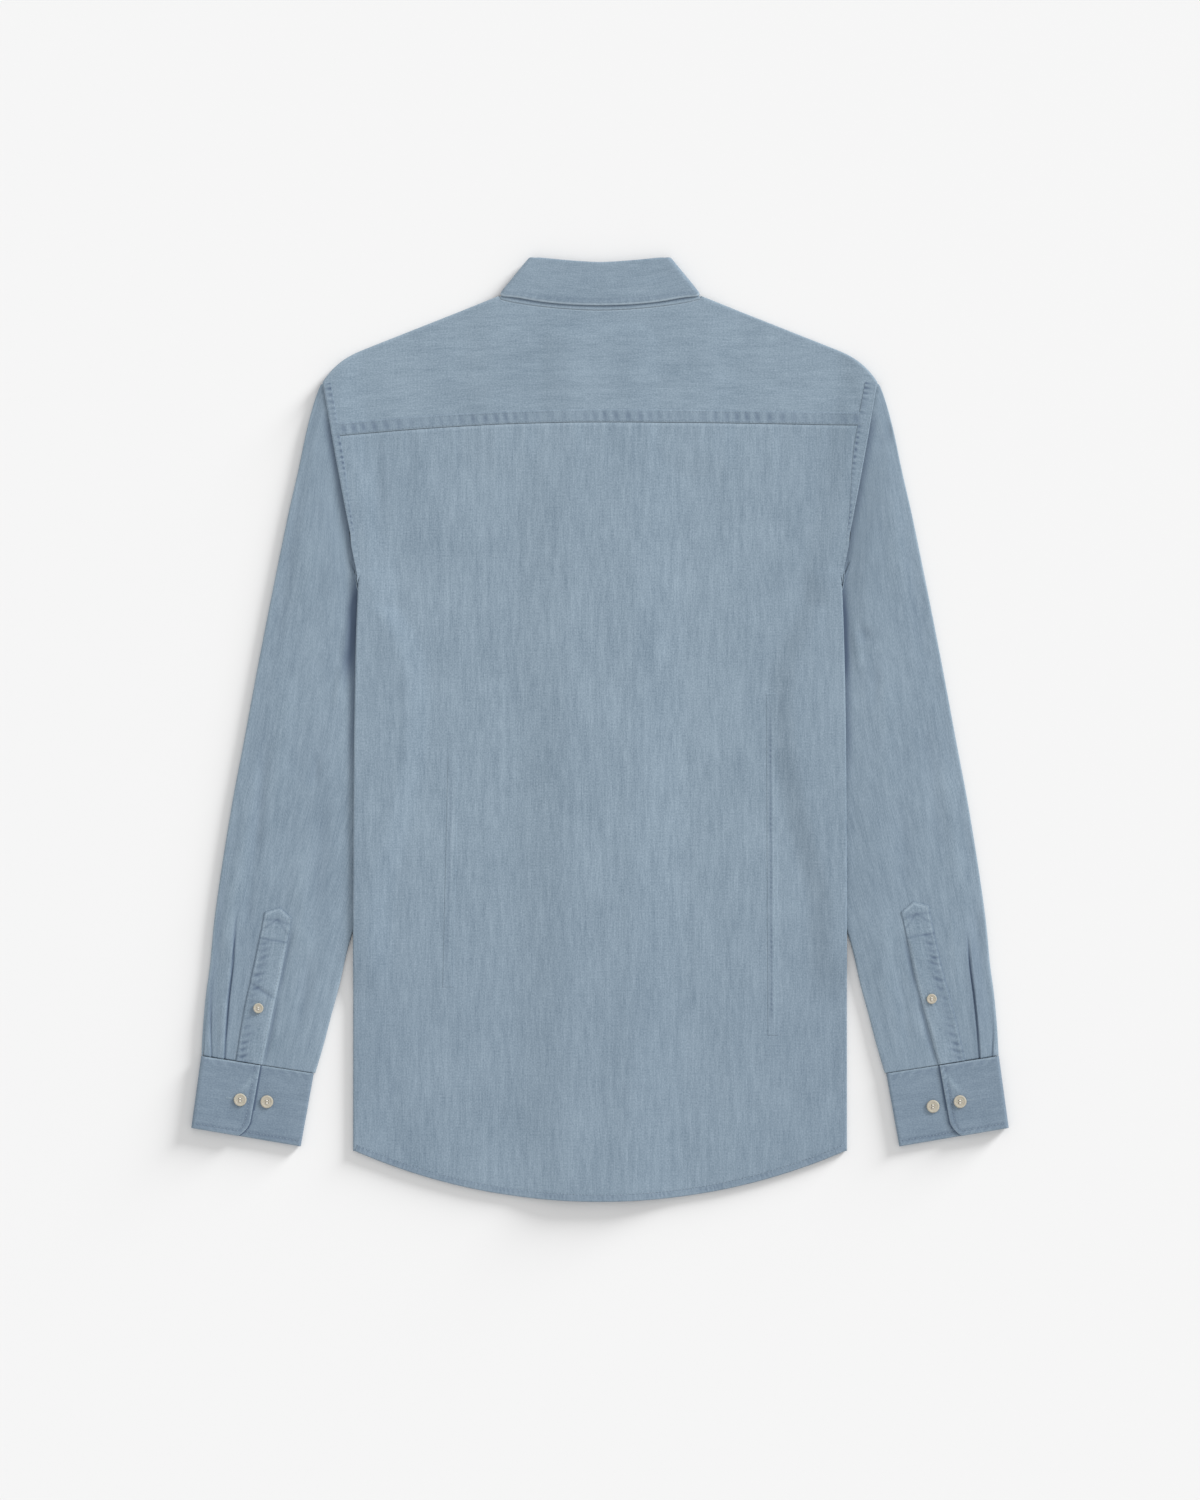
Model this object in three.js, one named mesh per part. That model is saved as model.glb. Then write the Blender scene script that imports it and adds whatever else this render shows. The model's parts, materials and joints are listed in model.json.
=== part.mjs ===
// Denim shirt laid face down, seen from the back. Millimetres, +Z up.
// +X is to the right in the view from above, +Y runs from the hem to the collar, z = 0 is the table.
import * as THREE from "three";

// Driving dimensions of the cloth and its layers
const CLOTH = 1.2; // wall of a panel
const SEAM_GAP = 0.3; // clearance between two pieces that meet at a seam
const LOFT = 0.9; // air between the front and the back
const BAND_RAISE = 0.5; // a hem or felled seam stands this much proud
const BAND_SLOPE = 0.8; // width of the step down from a band to the panel
const BODY_HEIGHT = CLOTH + LOFT + CLOTH;
const SLEEVE_LIFT = 4.3; // the body climbs this far over a sleeve that lies under it
const ARMHOLE_LIFT = 2.7; // the back climbs this far over the sleeve's end at the armhole
const COLLAR_LIFT = 2; // the fronts and the yoke lie this far up, on the collar leaf
const PLACKET = { half: 16, bottom: 2.5, wall: 1.6, bandBottom: 4.4, flatAt: 62 };
const HUMP_LIFT = 4; // the back lies this far up over the two plackets

// Where each rise starts and is complete: across, from the centre out, and along, as y
const SLEEVE_CLIMB = { topStart: 164, topFull: 124, lowFull: -190, lowStart: -240 };
const COLLAR_RISE = { startX: 124, fullX: 91, startY: 215, fullY: 245 };
const HUMP_RISE = { startX: 80, fullX: 22, startY: 375, fullY: 335 };

// Driving dimensions of the body, right half; the left half is its mirror image
const ARMPIT = { x: 209.7, y: 134.4 };
const SHOULDER_TIP = { x: 241, y: 302.3 };
const NECK_POINT = { x: 90.5, y: 375.8 };
const SHOULDER = { slope: -0.3955, roundFrom: 200, roundDrop: 14, roundPower: 3.2 };
const SIDE = { flare: 5, reach: 90 };
const ARMHOLE = { bow: 1.1, band: 8.6 };
const HEM = { lowest: -410.2, rise: 44.4, half: 214.5, power: 2.1, band: 7 };
const YOKE_SEAM = { centre: 267, right: 264.1, left: 254.5, band: 11 };
const YOKE_FRONT = { depth: 25, neckX: 86, tipX: 236.5 };
const FRONT_NECK = { lowest: 290, rise: 61, power: 2.4 };
const BACK_NECK = { lowest: 365, rise: 9.1 };
const COLOURS = {
  body: 0x8fa7b9,
  band: 0x8399ad,
  button: 0xcdbf9f,
};

// One row for each column of the body's wall, from the centre to the side: a fixed place,
// a distance from the line where the cloth climbs the sleeve, or a place at the side edge.
const ACROSS = [
  { name: "centre", fixed: 0 },
  { name: "band", fixed: 20 },
  { name: "ramp", fixed: 40 },
  { name: "flat", fixed: 62 },
  { name: "neck", fixed: 90.5 },
  { name: "shoulder", fixed: 122 },
  { name: "foot of the climb", fromClimb: -24, climb: 0 },
  { name: "middle of the climb", fromClimb: -12, climb: 0.5 },
  { name: "top of the climb", fromClimb: 0, climb: 1 },
  { name: "inside the felled seam", fromEdge: -ARMHOLE.band - BAND_SLOPE, climb: 1 },
  { name: "felled seam", fromEdge: -ARMHOLE.band, climb: 1, felled: true },
  { name: "edge", fromEdge: -1.5, climb: 1, felled: true, turn: 0 },
  { name: "turning", fromEdge: -0.75, climb: 1, felled: true, turn: 45 },
  { name: "turned", fromEdge: 0, climb: 1, felled: true, turn: 90 },
];
const NECK_COLUMN = ACROSS.findIndex((column) => column.name === "neck");

// One row for each cross-section of a sleeve, from the armhole to the cuff, right side
const SLEEVE_SECTIONS = [
  { outerX: 241.7, outerY: 300.3, innerX: 210.6, innerY: 134.4, outerHeight: 3, fold: 3 },
  { outerX: 247.6, outerY: 287.5, innerX: 211.4, innerY: 126, outerHeight: 3.2, fold: 3 },
  { outerX: 255, outerY: 260.5, innerX: 207.5, innerY: 115, outerHeight: 3.5, fold: 3 },
  { outerX: 262.3, outerY: 225.8, innerX: 195, innerY: 100, outerHeight: 3.6, fold: 3 },
  { outerX: 270.5, outerY: 190, innerX: 183, innerY: 82, outerHeight: 3.6, fold: 3 },
  { outerX: 279.3, outerY: 147.5, innerX: 174, innerY: 55, outerHeight: 3.6, fold: 3 },
  { outerX: 289.8, outerY: 95, innerX: 171.5, innerY: 20, outerHeight: 3.6, fold: 3 },
  { outerX: 300, outerY: 42, innerX: 174.5, innerY: -22, outerHeight: 3.6, fold: 3 },
  { outerX: 310, outerY: -12, innerX: 183, innerY: -66, outerHeight: 3.6, fold: 3 },
  { outerX: 319.5, outerY: -62, innerX: 194, innerY: -107, outerHeight: 3.6, fold: 3 },
  { outerX: 328.5, outerY: -117, innerX: 207, innerY: -152, outerHeight: 3.6, fold: 3 },
  { outerX: 335.4, outerY: -165.7, innerX: 218.4, innerY: -187.5, outerHeight: 3.6, fold: 3 },
  { outerX: 339, outerY: -203, innerX: 226.5, innerY: -222, outerHeight: 3.6, fold: 3 },
  { outerX: 342.7, outerY: -231, innerX: 233.5, innerY: -248, outerHeight: 3.7, fold: 3.1 },
  { outerX: 345.2, outerY: -258, innerX: 240.3, innerY: -274, outerHeight: 4, fold: 3.3 },
  { outerX: 346.6, outerY: -283.2, innerX: 247.6, innerY: -298.8, outerHeight: 4.1, fold: 3.6 },
];
const SLEEVE = {
  top: 4.8,
  underBody: 3.9,
  atArmhole: 4.5,
  atCuff: 4.2,
  clearOfBody: 30, // how far beyond the body's edge the sleeve reaches its full height
  roundWidth: 22, // how far from a fold it reaches its full height
  tuck: 6, // how far its end lies under the body
  fullTuck: { startY: 165, fullY: 200 },
  pastEdge: 0.8,
  tuckBottom: 1.5,
};
const CUFF_SEAM_Y = -283; // the outer end of the cuff seam
// Shares of a sleeve's width, from the inner fold to the outer one, on its upper and lower side
const SLEEVE_UPPER = [0.05, 0.14, 0.26, 0.38, 0.5, 0.62, 0.73];
const SLEEVE_LOWER = [0.92, 0.7, 0.45, 0.2];
// Pleats: where each one's fold lies and how far beyond it the cloth stands proud, as shares of
// the width, and the y where it starts
const PLEATS = {
  left: [
    { at: 0.805, from: -150, height: 1.2, reach: 0.1 },
    { at: 0.92, from: -215, height: 0.9, reach: 0.05 },
  ],
  right: [
    { at: 0.84, from: -165, height: 1.2, reach: 0.1 },
    { at: 0.95, from: -250, height: 0.8, reach: 0.03 },
  ],
};
const PLEAT_STEP = 0.012; // share of the width over which the cloth steps up at a pleat

// Cuff, right side: its corners, its three plies and the rounded corner of its overlap
const CUFF = {
  wall: 1.8,
  underBottom: 2.4,
  overBottom: 4.5,
  underEnd: 0.74,
  overEnd: 0.471,
  innerTop: [248.8, -299],
  outerTop: [346.7, -283.6],
  innerBottom: [260.2, -362.4],
  outerBottom: [355.3, -346.1],
};
const CUFF_ROWS = [
  { depth: 0, roundOff: 0 },
  { depth: 0.35, roundOff: 0.003 },
  { depth: 0.66, roundOff: 0.008 },
  { depth: 0.82, roundOff: 0.02 },
  { depth: 0.93, roundOff: 0.045 },
  { depth: 1, roundOff: 0.085 },
];

// Sleeve plackets: edges and inside columns as shares of the sleeve's width, and where the pointed
// end starts and ends, as shares of the way from section 10 to section 11
const SLEEVE_PLACKETS = {
  left: {
    edges: [
      { section: 15, inner: 0.463, outer: 0.695 },
      { section: 14, inner: 0.459, outer: 0.69 },
      { section: 13, inner: 0.454, outer: 0.68 },
      { section: 12, inner: 0.452, outer: 0.67 },
      { section: 11, inner: 0.444, outer: 0.648 },
    ],
    inside: [0.495, 0.546, 0.597],
    shoulder: 0.65,
    tip: 0.48,
  },
  right: {
    edges: [
      { section: 15, inner: 0.472, outer: 0.708 },
      { section: 14, inner: 0.45, outer: 0.684 },
      { section: 13, inner: 0.43, outer: 0.658 },
      { section: 12, inner: 0.418, outer: 0.637 },
      { section: 11, inner: 0.407, outer: 0.61 },
    ],
    inside: [0.458, 0.508, 0.558],
    shoulder: 0.49,
    tip: 0.336,
  },
};

// Collar, right half, from the centre back to the front end: the roll line, the leaf's edge and
// the neck seam, with the angle that the cloth has turned over at the side
const COLLAR = {
  leafWall: 1.6,
  standWall: 1.4,
  middle: 3.8, // height of the collar's middle above the table
  fallAt: 3, // distances of the leaf and the stand from that middle
  standAt: 1.1,
  standTop: 0.79, // share of the way from the neck seam to the roll line
  legGap: 0.5, // clearance between the leaf's inner end and the stand
};
const SIDE_FOLD = { fall: [84.5, 376.1], neck: [85.5, 374.9] };
const COLLAR_STATIONS = [
  { roll: [0, 405.9], fall: [0, 368.2], neck: [0, 365.3], turn: 0 },
  { roll: [18, 406.9], fall: [27, 369], neck: [27, 366.4], turn: 0 },
  { roll: [36, 408.4], fall: [52, 371.4], neck: [53, 368.9], turn: 0 },
  { roll: [52, 410.1], fall: [74, 375.4], neck: [75, 372.2], turn: 0 },
  { roll: [56.5, 409.9], ...SIDE_FOLD, turn: 0 },
  { roll: [57.6, 409], ...SIDE_FOLD, turn: 45 },
  { roll: [58.4, 408.1], ...SIDE_FOLD, turn: 90 },
  { roll: [58.4, 407.4], ...SIDE_FOLD, turn: 135 },
  { roll: [58.2, 406.8], ...SIDE_FOLD, turn: 180 },
  { roll: [51, 397], fall: [83, 344], neck: [84.5, 350.6], turn: 180 },
  { roll: [38, 374], fall: [77, 317], neck: [62, 318.9], turn: 180 },
  { roll: [23, 348], fall: [66, 292], neck: [38, 299.5], turn: 180 },
  { roll: [9, 329], fall: [54, 269], neck: [18, 292.1], turn: 180 },
];
const STAND_ENDS = [
  { roll: [4, 325], neck: [8, 291.6], turn: 180 },
  { roll: [-14, 322], neck: [-14, 291.3], turn: 180 },
];
const STAND_STEP = { left: [0.3, 0.6, 0.6], right: [1.2, 2.4, 2.4] };

// Buttons: 18 line on the front and the cuffs, 14 line on the sleeve plackets
const BUTTON = { large: 5.7, small: 4.5, thick: 2.2, clearance: 0.3, sides: 14 };
const FRONT_BUTTONS = { count: 7, first: 228, spacing: 90, standY: 304 };
const ON_OVERLAP = CUFF.overBottom + CUFF.wall;
const ON_UNDERLAP = CUFF.underBottom + CUFF.wall;
const ON_PLACKET = SLEEVE.top + SEAM_GAP + CLOTH;
const SLEEVE_BUTTONS = [
  { name: "cuff_button_left_a", x: -312.4, y: -321.5, under: ON_OVERLAP, radius: BUTTON.large },
  { name: "cuff_button_left_b", x: -289.4, y: -323.4, under: ON_UNDERLAP, radius: BUTTON.large },
  { name: "cuff_button_right_a", x: 312.6, y: -323.1, under: ON_OVERLAP, radius: BUTTON.large },
  { name: "cuff_button_right_b", x: 289.3, y: -327.4, under: ON_UNDERLAP, radius: BUTTON.large },
  { name: "placket_button_left", x: -296.6, y: -242, under: ON_PLACKET, radius: BUTTON.small },
  { name: "placket_button_right", x: 288, y: -233.9, under: ON_PLACKET, radius: BUTTON.small },
];

const mix = (a, b, share) => a + (b - a) * share;
const mixPoint = (a, b, share) => [mix(a[0], b[0], share), mix(a[1], b[1], share)];
const smooth = (from, to, value) => {
  const share = THREE.MathUtils.clamp((value - from) / (to - from), 0, 1);
  return share * share * (3 - 2 * share);
};
const radians = THREE.MathUtils.degToRad;

// A closed wall of cloth over a grid. at(i, j) gives the point on the middle surface, the way
// out of the cloth's outer face there and how far a band stands proud; cloth(i, j) says which
// cells are cut; a ring joins its last column to its first.
function wall(columns, rows, at, { thickness = CLOTH, ring = false, cloth = () => true } = {}) {
  const positions = [];
  for (let i = 0; i < columns; i++)
    for (let j = 0; j < rows; j++) {
      const { point, out, proud = 0 } = at(i, j);
      const long = Math.hypot(...out);
      for (const reach of [thickness / 2 + proud, -thickness / 2])
        positions.push(...point.map((value, axis) => value + (out[axis] / long) * reach));
    }
  const cellColumns = ring ? columns : columns - 1;
  const has = (i, j) => {
    const column = ring ? (i + columns) % columns : i;
    return column >= 0 && column < cellColumns && j >= 0 && j < rows - 1 && cloth(column, j);
  };
  const outer = (i, j) => 2 * ((i % columns) * rows + j);
  const inner = (i, j) => outer(i, j) + 1;
  const faces = [];
  const quad = (a, b, c, d) => faces.push(a, b, c, a, c, d);
  for (let i = 0; i < cellColumns; i++)
    for (let j = 0; j < rows - 1; j++) {
      if (!has(i, j)) continue;
      quad(outer(i, j), outer(i + 1, j), outer(i + 1, j + 1), outer(i, j + 1));
      quad(inner(i, j), inner(i, j + 1), inner(i + 1, j + 1), inner(i + 1, j));
      if (!has(i, j - 1)) quad(outer(i, j), inner(i, j), inner(i + 1, j), outer(i + 1, j));
      if (!has(i, j + 1))
        quad(outer(i + 1, j + 1), inner(i + 1, j + 1), inner(i, j + 1), outer(i, j + 1));
      if (!has(i - 1, j)) quad(outer(i, j + 1), inner(i, j + 1), inner(i, j), outer(i, j));
      if (!has(i + 1, j))
        quad(outer(i + 1, j), inner(i + 1, j), inner(i + 1, j + 1), outer(i + 1, j + 1));
    }
  return facingOut(positions, faces);
}

// The faces as a geometry, turned round where they enclose a negative volume
function facingOut(positions, faces) {
  const corner = (index) => new THREE.Vector3().fromArray(positions, 3 * index);
  let volume = 0;
  for (let f = 0; f < faces.length; f += 3)
    volume += corner(faces[f]).dot(corner(faces[f + 1]).cross(corner(faces[f + 2])));
  if (volume < 0)
    for (let f = 0; f < faces.length; f += 3)
      [faces[f + 1], faces[f + 2]] = [faces[f + 2], faces[f + 1]];
  const geometry = new THREE.BufferGeometry();
  geometry.setAttribute("position", new THREE.Float32BufferAttribute(positions, 3));
  geometry.setIndex(faces);
  geometry.computeVertexNormals();
  return geometry;
}

// Outline of the body, for the right half
const sideX = (y) => ARMPIT.x + SIDE.flare * (1 - Math.exp((y - ARMPIT.y) / SIDE.reach));
function armholeX(y) {
  const share = Math.min((y - ARMPIT.y) / (SHOULDER_TIP.y - ARMPIT.y), 1);
  return mix(ARMPIT.x, SHOULDER_TIP.x, share) + 4 * ARMHOLE.bow * share * (1 - share);
}
const edgeX = (y) => (y < ARMPIT.y ? sideX(y) : armholeX(y));
function shoulderY(x) {
  const round = Math.max(0, (x - SHOULDER.roundFrom) / (SHOULDER_TIP.x - SHOULDER.roundFrom));
  const straight = NECK_POINT.y + SHOULDER.slope * (x - NECK_POINT.x);
  return straight - SHOULDER.roundDrop * round ** SHOULDER.roundPower;
}
const hemY = (x) => HEM.lowest + HEM.rise * (Math.abs(x) / HEM.half) ** HEM.power;
const yokeSeamEnd = (side) => (side > 0 ? YOKE_SEAM.right : YOKE_SEAM.left);
const yokeSeamY = (x, side) =>
  mix(YOKE_SEAM.centre, yokeSeamEnd(side), (x / edgeX(yokeSeamEnd(side))) ** 2);
const backNeckY = (x) => BACK_NECK.lowest + BACK_NECK.rise * (x / NECK_POINT.x) ** 2;
// The seam between the yoke and a front follows the shoulder line, 25 mm down the front
const yokeFrontShare = (x) => (x - NECK_POINT.x) / (SHOULDER_TIP.x - NECK_POINT.x);
const yokeFrontX = (x) => mix(YOKE_FRONT.neckX, YOKE_FRONT.tipX, yokeFrontShare(x));
const frontNeckY = (x) =>
  FRONT_NECK.lowest + FRONT_NECK.rise * (Math.abs(x) / YOKE_FRONT.neckX) ** FRONT_NECK.power;

// Where a sleeve's inner fold lies under the body, at the height y
function innerFoldX(y) {
  const after = SLEEVE_SECTIONS.findIndex((section) => section.innerY <= y);
  if (after <= 0) return Infinity;
  const [above, below] = [SLEEVE_SECTIONS[after - 1], SLEEVE_SECTIONS[after]];
  return mix(below.innerX, above.innerX, (y - below.innerY) / (above.innerY - below.innerY));
}

// A column's place at the height y, and how far the front and the back climb there
const climbLineX = (y) => Math.min(innerFoldX(y) - 3, edgeX(y) - 12);
function columnX(column, y) {
  if ("fixed" in column) return column.fixed;
  return "fromClimb" in column ? climbLineX(y) + column.fromClimb : edgeX(y) + column.fromEdge;
}
function frontClimb(y) {
  const { topStart, topFull, lowFull, lowStart } = SLEEVE_CLIMB;
  return SLEEVE_LIFT * smooth(topStart, topFull, y) * smooth(lowStart, lowFull, y);
}
const backClimb = (y) =>
  y > ARMPIT.y ? Math.max(ARMHOLE_LIFT, frontClimb(y)) : frontClimb(y);
const riseAt = ({ startX, fullX, startY, fullY }, x, y) =>
  smooth(startX, fullX, Math.abs(x)) * smooth(startY, fullY, y);
const collarLift = (x, y) => COLLAR_LIFT * riseAt(COLLAR_RISE, x, y);
const backHump = (x, y) => HUMP_LIFT * riseAt(HUMP_RISE, x, y);

// Rows of the body's wall, as heights on the side edge, from the hem to the armhole
const BELOW_ARMPIT = [-320, -280, -240, -222, -205, -190, -140, -90, -40, 10, 50, 90, 118, 126];
const BESIDE_ARMHOLE = [146, 158, 190, 225];
const LEVEL_ABOVE_HEM = -240; // rows below this bend towards the hem's curve
const FRONT_SLOPE_START = 158; // columns above this lean towards the yoke's front seam
const HEM_CORNER_Y = HEM.lowest + HEM.rise;
const BACK_ROWS = [
  HEM_CORNER_Y,
  HEM_CORNER_Y + HEM.band,
  HEM_CORNER_Y + HEM.band + BAND_SLOPE,
  ...BELOW_ARMPIT,
  ARMPIT.y,
  ...BESIDE_ARMHOLE,
];
const FRONT_TOP_Y = shoulderY(SHOULDER_TIP.x) - YOKE_FRONT.depth;
const FRONT_ROWS = [
  HEM_CORNER_Y,
  ...BELOW_ARMPIT,
  ARMPIT.y,
  ...BESIDE_ARMHOLE,
  252,
  FRONT_TOP_Y,
];

// A row's height in a column: level below the armpit, drawn to the hem's and the top's curves
function rowY(station, x, top, topEnd) {
  const toHem = smooth(LEVEL_ABOVE_HEM, HEM_CORNER_Y, station) * (hemY(x) - HEM_CORNER_Y);
  const toTop = THREE.MathUtils.clamp((station - ARMPIT.y) / (topEnd - ARMPIT.y), 0, 1);
  return station + toHem + toTop * (top - topEnd);
}

// The side edge: below the armpit the wall turns through a quarter circle towards the other panel
function sidePoint(side, column, x, y, station, faceZ, up) {
  const turning = station <= ARMPIT.y && column.turn !== undefined;
  if (!turning)
    return { point: [side * x, y, faceZ + (up * CLOTH) / 2], out: [0, 0, -up] };
  const radius = (BODY_HEIGHT - SEAM_GAP) / 2;
  const angle = radians(column.turn);
  const middle = radius - CLOTH / 2;
  return {
    point: [
      side * (edgeX(station) - radius + middle * Math.sin(angle)),
      y,
      faceZ + up * (radius - middle * Math.cos(angle)),
    ],
    out: [side * Math.sin(angle), 0, -up * Math.cos(angle)],
  };
}

// Back panel and yoke
function backBottom(column, x, y, station) {
  const climb = (column.climb ?? 0) * backClimb(station);
  return CLOTH + LOFT + Math.max(backHump(x, y), collarLift(x, y)) + climb;
}
const mirrored = [
  ...ACROSS.slice(1).map((column) => ({ column, side: -1 })).reverse(),
  ...ACROSS.map((column) => ({ column, side: 1 })),
];

function bodyBack() {
  const rows = BACK_ROWS.length + 1;
  return wall(mirrored.length, rows, (i, j) => {
    const { column, side } = mirrored[i];
    const end = yokeSeamEnd(side) - SEAM_GAP;
    const station = j < BACK_ROWS.length ? BACK_ROWS[j] : end;
    const x = columnX(column, station);
    const top = yokeSeamY(columnX(column, end), side) - SEAM_GAP;
    const y = rowY(station, x, top, end);
    const topFace = backBottom(column, x, y, station) + CLOTH;
    const felled = column.felled && station > ARMPIT.y;
    const hem = j < 2;
    return {
      ...sidePoint(side, column, x, y, station, topFace, -1),
      proud: felled || hem ? BAND_RAISE : 0,
    };
  });
}

// The yoke's rows: flat from its seam to the shoulder, round the fold, and down the front.
// Between the neck points it stops at the neck seam.
const YOKE_FLAT = [
  { share: 0, up: 0, band: true },
  { share: 0, up: YOKE_SEAM.band, band: true },
  { share: 0, up: YOKE_SEAM.band + BAND_SLOPE },
  { share: 0.45, up: 0 },
  { share: 0.75, up: 0 },
  { share: 1, up: 0 },
];
const FOLD_TURNS = [45, 90, 135, 180];
const YOKE_DOWN = [0.5, 1];

function yoke() {
  const flat = YOKE_FLAT.length;
  const fold = FOLD_TURNS.length;
  const pointAt = (i, j) => {
    const { column, side } = mirrored[i];
    const end = yokeSeamEnd(side);
    const seamX = columnX(column, end);
    const foldX = columnX(column, SHOULDER_TIP.y);
    const inNeck = foldX < NECK_POINT.x;
    const seamZ = backBottom(column, seamX, end, end);
    const foldZ = backBottom(column, foldX, shoulderY(foldX), SHOULDER_TIP.y);
    const floorZ = collarLift(foldX, shoulderY(foldX));
    const radius = (foldZ + CLOTH - floorZ) / 2;
    const foldY = inNeck ? backNeckY(foldX) : shoulderY(foldX) - radius;
    if (j < flat) {
      const { share, up, band } = YOKE_FLAT[j];
      const seamY = yokeSeamY(seamX, side);
      const y = up > 0 ? seamY + up : mix(seamY, foldY, share);
      const along = (y - seamY) / (foldY - seamY);
      const x = mix(seamX, foldX, along);
      const z = inNeck ? backBottom(column, x, y, end) : mix(seamZ, foldZ, along);
      const proud = band || column.felled ? BAND_RAISE : 0;
      return { point: [side * x, y, z + CLOTH / 2], out: [0, 0, 1], proud };
    }
    const turned = Math.min(j - flat, fold - 1);
    const angle = radians(FOLD_TURNS[turned]);
    const down = j < flat + fold ? 0 : YOKE_DOWN[j - flat - fold];
    const middle = radius - CLOTH / 2;
    const startY = foldY + middle * Math.sin(angle);
    const endX = yokeFrontX(foldX);
    const endY = shoulderY(foldX) - YOKE_FRONT.depth;
    const proud = column.felled ? BAND_RAISE * smooth(180, 90, FOLD_TURNS[turned]) : 0;
    return {
      point: [
        side * mix(foldX, endX, down),
        mix(startY, endY, down),
        floorZ + radius + middle * Math.cos(angle),
      ],
      out: [0, Math.sin(angle), Math.cos(angle)],
      proud,
    };
  };
  const middleColumn = ACROSS.length - 1;
  const inNeck = (i) => Math.abs(i + 0.5 - middleColumn) < NECK_COLUMN;
  const rows = flat + fold + YOKE_DOWN.length;
  return wall(mirrored.length, rows, pointAt, {
    cloth: (i, j) => !(inNeck(i) && j >= flat - 1),
  });
}

// Front panels: the left one meets the buttonhole placket, the right one runs under it
const FRONT_START = {
  "-1": [
    { fixed: PLACKET.half + SEAM_GAP, lift: PLACKET.bottom },
    { fixed: 38, lift: 1.2 },
  ],
  1: [
    { fixed: -(PLACKET.half - 2), lift: PLACKET.bandBottom },
    { fixed: PLACKET.half + 2, lift: PLACKET.bandBottom },
    { fixed: 38, lift: 2.2 },
  ],
};

function front(side) {
  const flatFrom = ACROSS.findIndex((column) => column.fixed === PLACKET.flatAt);
  const plain = ACROSS.slice(flatFrom).filter(
    (column) => column.fromEdge === undefined || column.turn !== undefined,
  );
  const columns = [...FRONT_START[side], ...plain];
  const neckAt = columns.findIndex((column) => column.name === "neck");
  return wall(columns.length, FRONT_ROWS.length, (i, j) => {
    const column = columns[i];
    const station = FRONT_ROWS[j];
    const foldX = columnX(column, SHOULDER_TIP.y);
    const topX = i < neckAt ? foldX : yokeFrontX(foldX);
    const seamY = shoulderY(foldX) - YOKE_FRONT.depth;
    const top = (i < neckAt ? frontNeckY(topX) : seamY) - SEAM_GAP;
    const plainX = columnX(column, Math.min(station, SHOULDER_TIP.y));
    const atTop = columnX(column, FRONT_TOP_Y);
    const x = plainX + (topX - atTop) * smooth(FRONT_SLOPE_START, FRONT_TOP_Y, station);
    const y = rowY(station, Math.abs(x), top, FRONT_TOP_Y);
    const lift = Math.max(column.lift ?? 0, collarLift(x, y));
    const climb = (column.climb ?? 0) * frontClimb(station);
    return sidePoint(side, column, x, y, station, lift + climb, 1);
  });
}

function frontPlacket() {
  const across = [-PLACKET.half, 0, PLACKET.half];
  const up = [0, 0.33, 0.66, 1];
  const z = PLACKET.bottom + PLACKET.wall / 2;
  return wall(
    across.length,
    up.length,
    (i, j) => {
      const x = across[i];
      const y = mix(hemY(x), FRONT_NECK.lowest - SEAM_GAP, up[j]);
      return { point: [x, y, z], out: [0, 0, -1] };
    },
    { thickness: PLACKET.wall },
  );
}

// Height of a sleeve's upper side above the table, away from its folds
function sleeveHeight(x, y) {
  const free = smooth(0, SLEEVE.clearOfBody, x - edgeX(y));
  const covered = mix(SLEEVE.underBody, SLEEVE.atArmhole, smooth(130, 160, y));
  const toCuff = smooth(-235, CUFF_SEAM_Y, y);
  return mix(covered, SLEEVE.top, free) - (SLEEVE.top - SLEEVE.atCuff) * toCuff;
}

// The cloth beyond a pleat's fold stands proud of the cloth before it
function pleatHeight(side, share, y) {
  const heights = PLEATS[side].map(({ at, from, height, reach }) => {
    const beyond = (share - at) / reach;
    if (beyond < -1e-9 || beyond > 1) return 0;
    return height * (1 - beyond) * smooth(from, CUFF_SEAM_Y, y) ** 0.7;
  });
  return Math.max(...heights);
}

// A sleeve's sections, with two more at the armhole that tuck under the edge of the body
function sleeveStations() {
  const [first, ...rest] = SLEEVE_SECTIONS;
  return [
    { ...first, armhole: -SLEEVE.tuck, bottom: SLEEVE.tuckBottom },
    { ...first, armhole: SLEEVE.pastEdge, bottom: SLEEVE.tuckBottom },
    ...rest.map((section) => ({ ...section, bottom: 0 })),
  ];
}

// A place on a sleeve's section in plan, by its distance from the inner fold
function sleevePlan(section, distance) {
  const dx = section.outerX - section.innerX;
  const dy = section.outerY - section.innerY;
  const long = Math.hypot(dx, dy);
  const x = section.innerX + (dx / long) * distance;
  const y = section.innerY + (dy / long) * distance;
  if (section.armhole === undefined) return [x, y];
  const deep = smooth(SLEEVE.fullTuck.startY, SLEEVE.fullTuck.fullY, y);
  const tuck = section.armhole < 0 ? mix(SEAM_GAP, section.armhole, deep) : section.armhole;
  const up = (y - ARMPIT.y) / (SHOULDER_TIP.y - ARMPIT.y);
  const bow = armholeX(y) - mix(ARMPIT.x, SHOULDER_TIP.x, up);
  return [x + bow + (dy / long) * tuck, y - (dx / long) * tuck];
}

// The ring of a sleeve's section: round the inner fold, over the top, round the outer fold, back
function sleeveRing(side) {
  const beside = PLEATS[side].flatMap(({ at, reach }) => [at - PLEAT_STEP, at, at + 0.6 * reach]);
  return [
    { fold: "inner", turn: 180 },
    { fold: "inner", turn: 90 },
    { fold: "inner", turn: 0 },
    ...[...SLEEVE_UPPER, ...beside].map((share) => ({ share, upper: true })),
    { fold: "outer", turn: 0 },
    { fold: "outer", turn: 90 },
    { fold: "outer", turn: 180 },
    ...SLEEVE_LOWER.map((share) => ({ share, upper: false })),
  ];
}

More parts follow.
